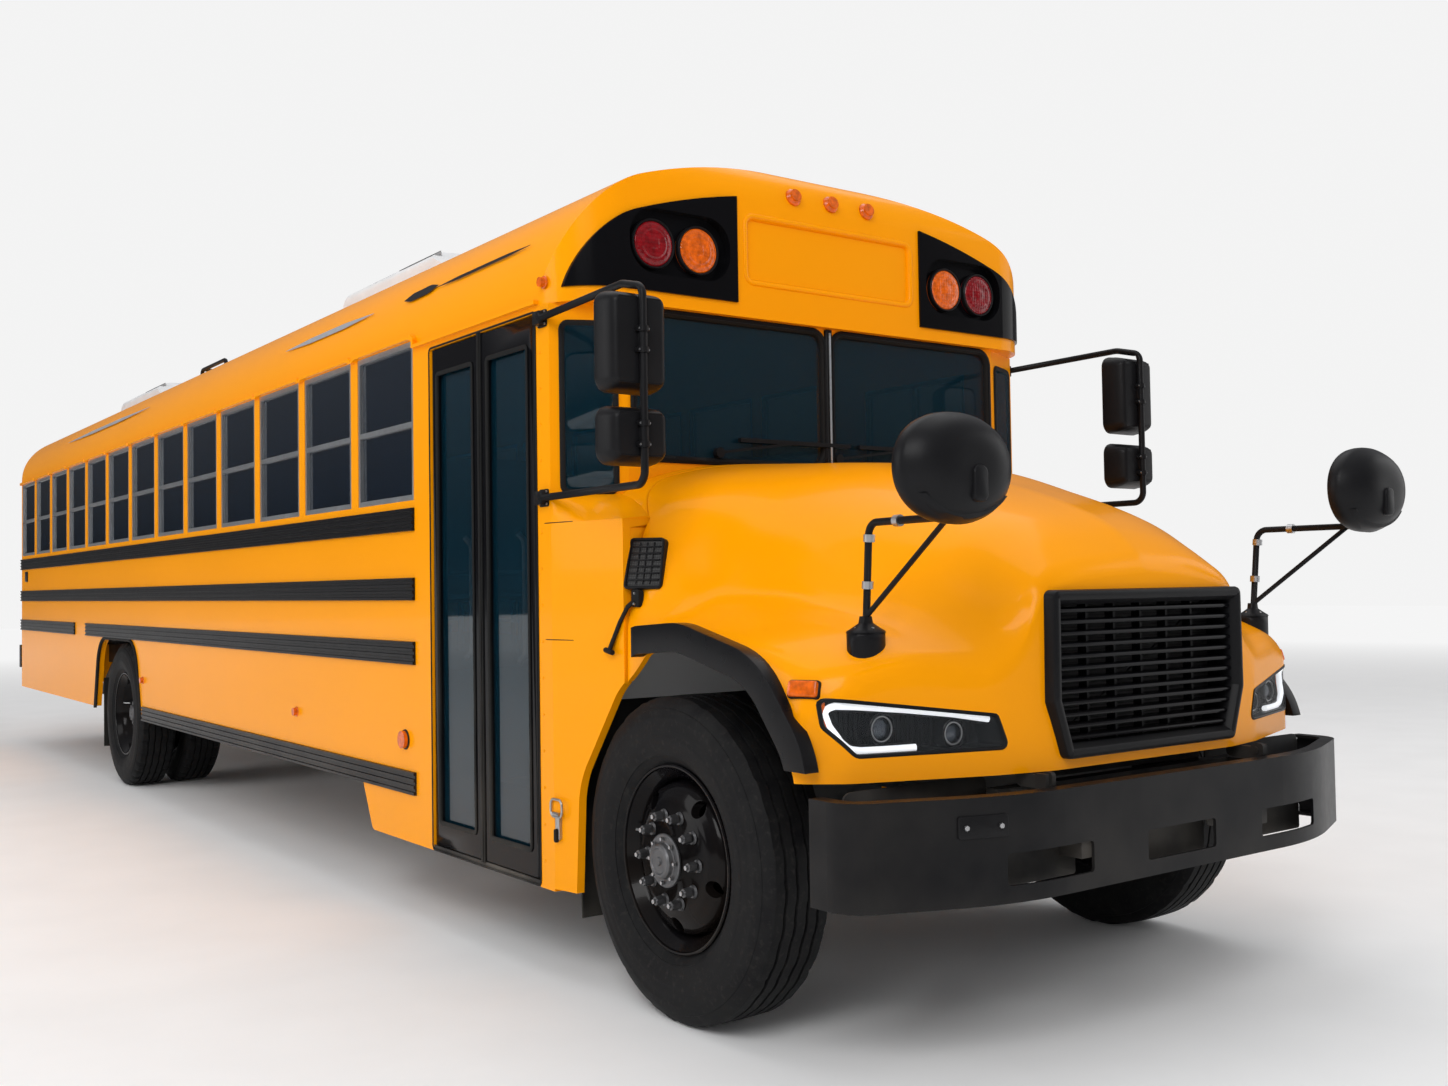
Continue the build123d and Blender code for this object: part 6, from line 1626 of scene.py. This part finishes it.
def make_roof_fittings():
    """Louvres and ribs of the air units, bracket and mast."""
    for index, start in enumerate((-2150, 3500)):
        for side, word in SIDES:
            lean = Vector((side * 0.515, 0, 0.857))
            up = Vector((-side * 0.857, 0, 0.515))
            middle = Vector((side * 500, start + 700, 3226))
            axes = (middle, (0, 1, 0), up, lean)
            slots = Body()
            for k in range(6):
                slots.slab(rounded_ring(180, 520, -44 + 17 * k, -35 + 17 * k, 4, 4), axes, -12, 0, 1)
            slots.make(f"unit_louvres_{index}_{word}", "rubber", "body", "black_plastic", angle=30)
            panel = Body()
            panel.slab(oval_ring(-250, 2, 230, 50, 3.2, 40), axes, -12, 1.5, 1)
            panel.make(f"unit_panel_{index}_{word}", "grey", "body", "white_plastic", angle=30)
            ribs = Body()
            for a in range(-450, -40, 24):
                ribs.slab(rounded_ring(a - 3, a + 3, -38, 42, 2.9, 3), axes, 1, 4, 1)
            ribs.make(f"unit_ribs_{index}_{word}", "satin", "body", "black_plastic", angle=30)
            places = [(side * 561, start + 150 + 290 * k, 3080) for k in range(5)]
            bolts(f"unit_bolts_{index}_{word}", "body", places, (side, 0, 0), 8, 5)
    rack = Body()
    for x in (-430, 430):
        rack.tube([(x, 2760, 3000), (x, 2760, 3205), (x, 2745, 3222), (x, 2725, 3228), (x, 2150, 3228),
                   (x, 2128, 3222), (x, 2115, 3205), (x, 2115, 3000)], 15, 14)
    rack.tube([(-430, 2725, 3228), (430, 2725, 3228)], 13, 14)
    rack.make("roof_bracket", "satin", "body", "black_plastic", angle=40)
    mast = Body()
    rows = [(-30, 1), (-30, 28), (6, 26), (14, 16), (20, 8), (88, 5), (96, 1)]
    mast.lathe(rows, (-300, -3380, 3046), (-0.06, 0, 1), 28)
    mast.make("roof_mast", "satin", "body", "black_plastic", angle=40)


def make_stop_face():
    """White border on both faces of the stop arm."""
    low, high = span("stop_arm")
    middle_y, middle_z = -2630, 1420
    reach = 224 / math.cos(math.radians(22.5))
    turns = [math.radians(22.5 + 45 * k) for k in range(8)]
    octagon = [(middle_y + reach * math.cos(t), middle_z + reach * math.sin(t)) for t in turns]
    for name, face, sense in (("outer", high.x, 1), ("inner", low.x, -1)):
        profile = [(6, 0), (6, 0.9), (22, 0.9), (22, 0)]
        frame_bar(octagon, profile, lambda a, b, depth: (face + sense * depth, a, b)).make(
            f"stop_border_{name}", "white", "stop_arm", "white_plastic", angle=30)


# ------------------------------------------------------------------ seats
BENCH_Z = (1367.0, 1493.0)
BACK_Z = (1388.0, 2057.0)
SINK = 18.0  # how far a pad's seams lie inside its box
SWELL = 0.017  # greatest move of a point as a pad is blown up, in metres
PRESSURE = 6
MOMENTS = 20  # frames that the cloth is given
BENCH_DEEP, BACK_DEEP = 396, 80
DRIVER_LOW, DRIVER_HIGH = 377, 863
BENCH_STARTS = [-3236.0 + 720.0 * k for k in range(13)]


def padded_block(name, size, pitch):
    """Block of foam in its cover, in metres about its centre: cloth pressure crowns it between its seams."""
    size = Vector([a - 2 * SINK for a in size]) / 1000
    work = bmesh.new()
    bmesh.ops.create_cube(work, size=1.0)
    for v in work.verts:
        v.co = Vector([a * b for a, b in zip(size, v.co)])
    seams = work.edges[:]
    bmesh.ops.bevel(work, geom=seams, offset=0.016, segments=2, profile=0.6, affect="EDGES")
    for axis in range(3):
        count = max(int(size[axis] / pitch), 2)
        normal = Vector([1.0 if k == axis else 0.0 for k in range(3)])
        for k in range(1, count):
            place = normal * size[axis] * (k / count - 0.5)
            bmesh.ops.bisect_plane(work, geom=work.verts[:] + work.edges[:] + work.faces[:], plane_co=place,
                                   plane_no=normal)
    mesh = bpy.data.meshes.new(name)
    work.to_mesh(mesh)
    work.free()
    pad = linked(name, mesh)
    flat = [v.co.copy() for v in mesh.vertices]
    half = size / 2
    group = pad.vertex_groups.new(name="seams")
    for index, co in enumerate(flat):
        edges = sum(abs(abs(co[k]) - half[k]) < 0.017 for k in range(3))
        if edges >= 2:
            group.add([index], 0.9, "REPLACE")
    cloth = pad.modifiers.new("cover", "CLOTH")
    settings = cloth.settings
    settings.quality = 4
    settings.mass = 0.4
    settings.tension_stiffness = settings.compression_stiffness = 5
    settings.use_pressure = True
    settings.uniform_pressure_force = PRESSURE
    settings.effector_weights.gravity = 0
    settings.vertex_group_mass = "seams"
    cloth.point_cache.frame_start, cloth.point_cache.frame_end = 1, MOMENTS
    for moment in range(1, MOMENTS + 1):
        bpy.context.scene.frame_set(moment)
        graph = bpy.context.evaluated_depsgraph_get()
        blown = [v.co.copy() for v in pad.evaluated_get(graph).data.vertices]
    pad.modifiers.clear()
    bpy.context.scene.frame_set(1)
    for vertex, start, end in zip(mesh.vertices, flat, blown):
        move = end - start
        if move.length > SWELL:
            move = move.normalized() * SWELL
        vertex.co = start + move
    smooth = pad.modifiers.new("smooth", "SUBSURF")
    smooth.levels = 1
    settle(pad)
    points = np.array([v.co for v in pad.data.vertices])
    faces = [list(f.vertices) for f in pad.data.polygons]
    bpy.data.objects.remove(pad)
    return points * 1000, faces


def lay_pad(name, shape, low, high):
    """Copy of a padded block set between two corners."""
    points, faces = shape
    middle = [(a + b) / 2 for a, b in zip(low, high)]
    pad = Body()
    held = np.clip(points + np.array(middle), np.array(low) + 0.5, np.array(high) - 0.5)
    pad.add([tuple(p) for p in held], faces)
    made = pad.make(name, "vinyl", "body", "seat_cover", angle=70)
    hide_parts("seats")


def seat_frame(name, x_low, x_high, y, legs):
    """Tube frame with its feet and bolts, under one seat."""
    frame_part = Body()
    low_z = floor_level()
    for x in legs:
        for leg_y in (y + 82, y + 422):
            frame_part.tube([(x, leg_y, low_z + 2), (x, leg_y, 1362)], 14, 14)
            frame_part.slab(rounded_ring(x - 24, x + 24, leg_y - 26, leg_y + 26, 6, 4),
                            TOP_AXES, low_z + 0.4, low_z + 6, 1)
        frame_part.tube([(x, y + 82, 1240), (x, y + 422, 1240)], 9, 10)
    for rail_y in (y + 60, y + 420):
        frame_part.tube([(x_low + 20, rail_y, 1356), (x_high - 20, rail_y, 1356)], 9, 10)
    frame_part.make(name, "chassis", "body", "chassis_steel", angle=40)
    feet = [(x + dx, leg_y + dy, low_z + 6.5) for x in legs for leg_y in (y + 82, y + 422)
            for dx, dy in ((-17, 18), (17, -18))]
    bolts(f"{name}_bolts", "body", feet, (0, 0, 1), 4.5, 4)


def floor_level():
    """Top of the floor under the seats."""
    return span("seats")[0].z


def make_seats():
    """Pads, frames and piping of every seat."""
    wall, inner = span("seats")[1].x, 190.0
    wide = wall - inner
    bench_high, back_high = BENCH_Z[1] - BENCH_Z[0], BACK_Z[1] - BACK_Z[0]
    bench = padded_block("bench_form", (wide, BENCH_DEEP, bench_high), 0.06)
    back = padded_block("back_form", (wide, BACK_DEEP, back_high), 0.06)
    for row, start in enumerate(BENCH_STARTS):
        y = start + 60
        for side, word in SIDES:
            x_low, x_high = sorted((side * wall, side * inner))
            place = f"{row:02d}_{word}"
            lay_pad(f"cushion_{place}", bench, (x_low, y + 2, BENCH_Z[0]), (x_high, y + 398, BENCH_Z[1]))
            lay_pad(f"back_{place}", back, (x_low, y + 403, BACK_Z[0]), (x_high, y + 483, BACK_Z[1]))
            seat_frame(f"seat_frame_{place}", x_low, x_high, y, [side * 255])
            piping = Body()
            inset = SINK + 6
            for (low, high), start_y, end_y, radius in ((BACK_Z, y + 408, y + 478, 9),
                                                        (BENCH_Z, y + 8, y + 392, 14)):
                ring = rounded_ring(x_low + inset, x_high - inset, start_y + SINK, end_y - SINK, radius, 4)
                for height in (low + inset, high - inset):
                    piping.tube([(a, b, height) for a, b in [*ring, ring[0]]], 4, 6, caps=False)
            piping.make(f"seat_piping_{place}", "satin", "body", "seat_cover", angle=60)
    wide = DRIVER_HIGH - DRIVER_LOW
    seat = padded_block("driver_seat_form", (wide, BENCH_DEEP, bench_high), 0.045)
    rest = padded_block("driver_back_form", (wide, BACK_DEEP, back_high), 0.045)
    lay_pad("driver_cushion", seat, (DRIVER_LOW, -3858, BENCH_Z[0]), (DRIVER_HIGH, -3462, BENCH_Z[1]))
    lay_pad("driver_back", rest, (DRIVER_LOW, -3457, BACK_Z[0]), (DRIVER_HIGH, -3377, BACK_Z[1]))
    seat_frame("driver_frame", DRIVER_LOW, DRIVER_HIGH, -3860, [455, 785])


# ------------------------------------------------------------------ add-on
class BusLooks(bpy.types.PropertyGroup):
    """Choices the panel offers."""

    body_color: FloatVectorProperty(
        name="Body colour", description="Enamel of the body", subtype="COLOR", size=3,
        min=0.0, max=1.0, default=(1.0, 0.355, 0.0))
    trim_color: FloatVectorProperty(
        name="Trim colour", description="Enamel of pods and wheels", subtype="COLOR", size=3,
        min=0.0, max=1.0, default=(0.004, 0.004, 0.005))
    paint_roughness: FloatProperty(
        name="Paint roughness", description="Roughness of the body enamel", default=0.22, min=0.0, max=1.0)
    key_power: FloatProperty(
        name="Key light", description="Power of the main light in watts", default=740.0, min=0.0)
    sky_level: FloatProperty(
        name="Sky level", description="Strength of the studio's ambient light", default=0.6, min=0.0)
    shine_level: FloatProperty(
        name="Shine level", description="Strength of what the paint reflects of the sky", default=0.5,
        min=0.0)


class BUS_OT_finishes(bpy.types.Operator):
    """Make every finish and put one on each part of the frame."""

    bl_idname = "bus.finishes"
    bl_label = "Finishes"

    def execute(self, context):
        finishes(context.scene.bus_looks)
        dress_nodes()
        return {"FINISHED"}


class BUS_OT_nose(bpy.types.Operator):
    """Make the smooth hood and cowl."""

    bl_idname = "bus.nose"
    bl_label = "Nose"

    def execute(self, context):
        make_hood()
        make_cowl()
        return {"FINISHED"}


class BUS_OT_wheels(bpy.types.Operator):
    """Make the tyres and dress the wheels."""

    bl_idname = "bus.wheels"
    bl_label = "Wheels"

    def execute(self, context):
        make_tyres()
        make_wheels()
        return {"FINISHED"}


class BUS_OT_face(bpy.types.Operator):
    """Make the grille and the headlamps."""

    bl_idname = "bus.face"
    bl_label = "Grille and headlamps"

    def execute(self, context):
        make_grille()
        for side, word in SIDES:
            make_headlamp(side, word)
        return {"FINISHED"}


class BUS_OT_mirrors(bpy.types.Operator):
    """Make the mirrors beside the windshield and on the fenders."""

    bl_idname = "bus.mirrors"
    bl_label = "Mirrors"

    def execute(self, context):
        for side, word in SIDES:
            make_side_mirrors(side, word)
            make_crossover(side, word)
        return {"FINISHED"}


class BUS_OT_lamps(bpy.types.Operator):
    """Make the warning, tail and marker lamps."""

    bl_idname = "bus.lamps"
    bl_label = "Lamps"

    def execute(self, context):
        make_lamps()
        return {"FINISHED"}


class BUS_OT_openings(bpy.types.Operator):
    """Trim the windshield and the entrance doors."""

    bl_idname = "bus.openings"
    bl_label = "Windshield and doors"

    def execute(self, context):
        make_screen_trim()
        make_doors()
        return {"FINISHED"}


class BUS_OT_fittings(bpy.types.Operator):
    """Make the vents, latches, seams and roof parts."""

    bl_idname = "bus.fittings"
    bl_label = "Fittings"

    def execute(self, context):
        for side, word in SIDES:
            make_nose_fittings(side, word)
        make_flares()
        make_front_fittings()
        make_roof_fittings()
        make_stop_face()
        return {"FINISHED"}


class BUS_OT_seats(bpy.types.Operator):
    """Make the padded seats and their frames."""

    bl_idname = "bus.seats"
    bl_label = "Seats"

    def execute(self, context):
        make_seats()
        return {"FINISHED"}


class BUS_OT_stage(bpy.types.Operator):
    """Set the floor, the lights and the camera."""

    bl_idname = "bus.stage"
    bl_label = "Stage"

    def execute(self, context):
        set_stage(context.scene.bus_looks)
        return {"FINISHED"}


class BUS_PT_looks(bpy.types.Panel):
    """Choices for the bus and a button for each group of pieces."""

    bl_idname = "BUS_PT_looks"
    bl_label = "School bus"
    bl_space_type = "VIEW_3D"
    bl_region_type = "UI"
    bl_category = "Bus"

    def draw(self, context):
        looks = context.scene.bus_looks
        for name in looks.bl_rna.properties.keys():
            if name in BusLooks.__annotations__:
                self.layout.prop(looks, name)
        for name in ORDER:
            self.layout.operator(f"bus.{name}")


OPERATORS = [BUS_OT_finishes, BUS_OT_nose, BUS_OT_wheels, BUS_OT_face, BUS_OT_mirrors, BUS_OT_lamps,
             BUS_OT_openings, BUS_OT_fittings, BUS_OT_seats, BUS_OT_stage]
CLASSES = [BusLooks, *OPERATORS, BUS_PT_looks]
ORDER = [kind.bl_idname.split(".")[1] for kind in OPERATORS]


def register():
    """Adds the panel and its buttons."""
    for kind in CLASSES:
        bpy.utils.register_class(kind)
    bpy.types.Scene.bus_looks = PointerProperty(type=BusLooks)


def unregister():
    """Takes the panel and its buttons away."""
    del bpy.types.Scene.bus_looks
    for kind in reversed(CLASSES):
        bpy.utils.unregister_class(kind)


def main():
    """Registers the panel and runs each group of pieces."""
    register()
    for name in ORDER:
        if "FINISHED" not in getattr(bpy.ops.bus, name)():
            raise RuntimeError(f"{name} didn't finish")


if __name__ == "__main__":
    main()
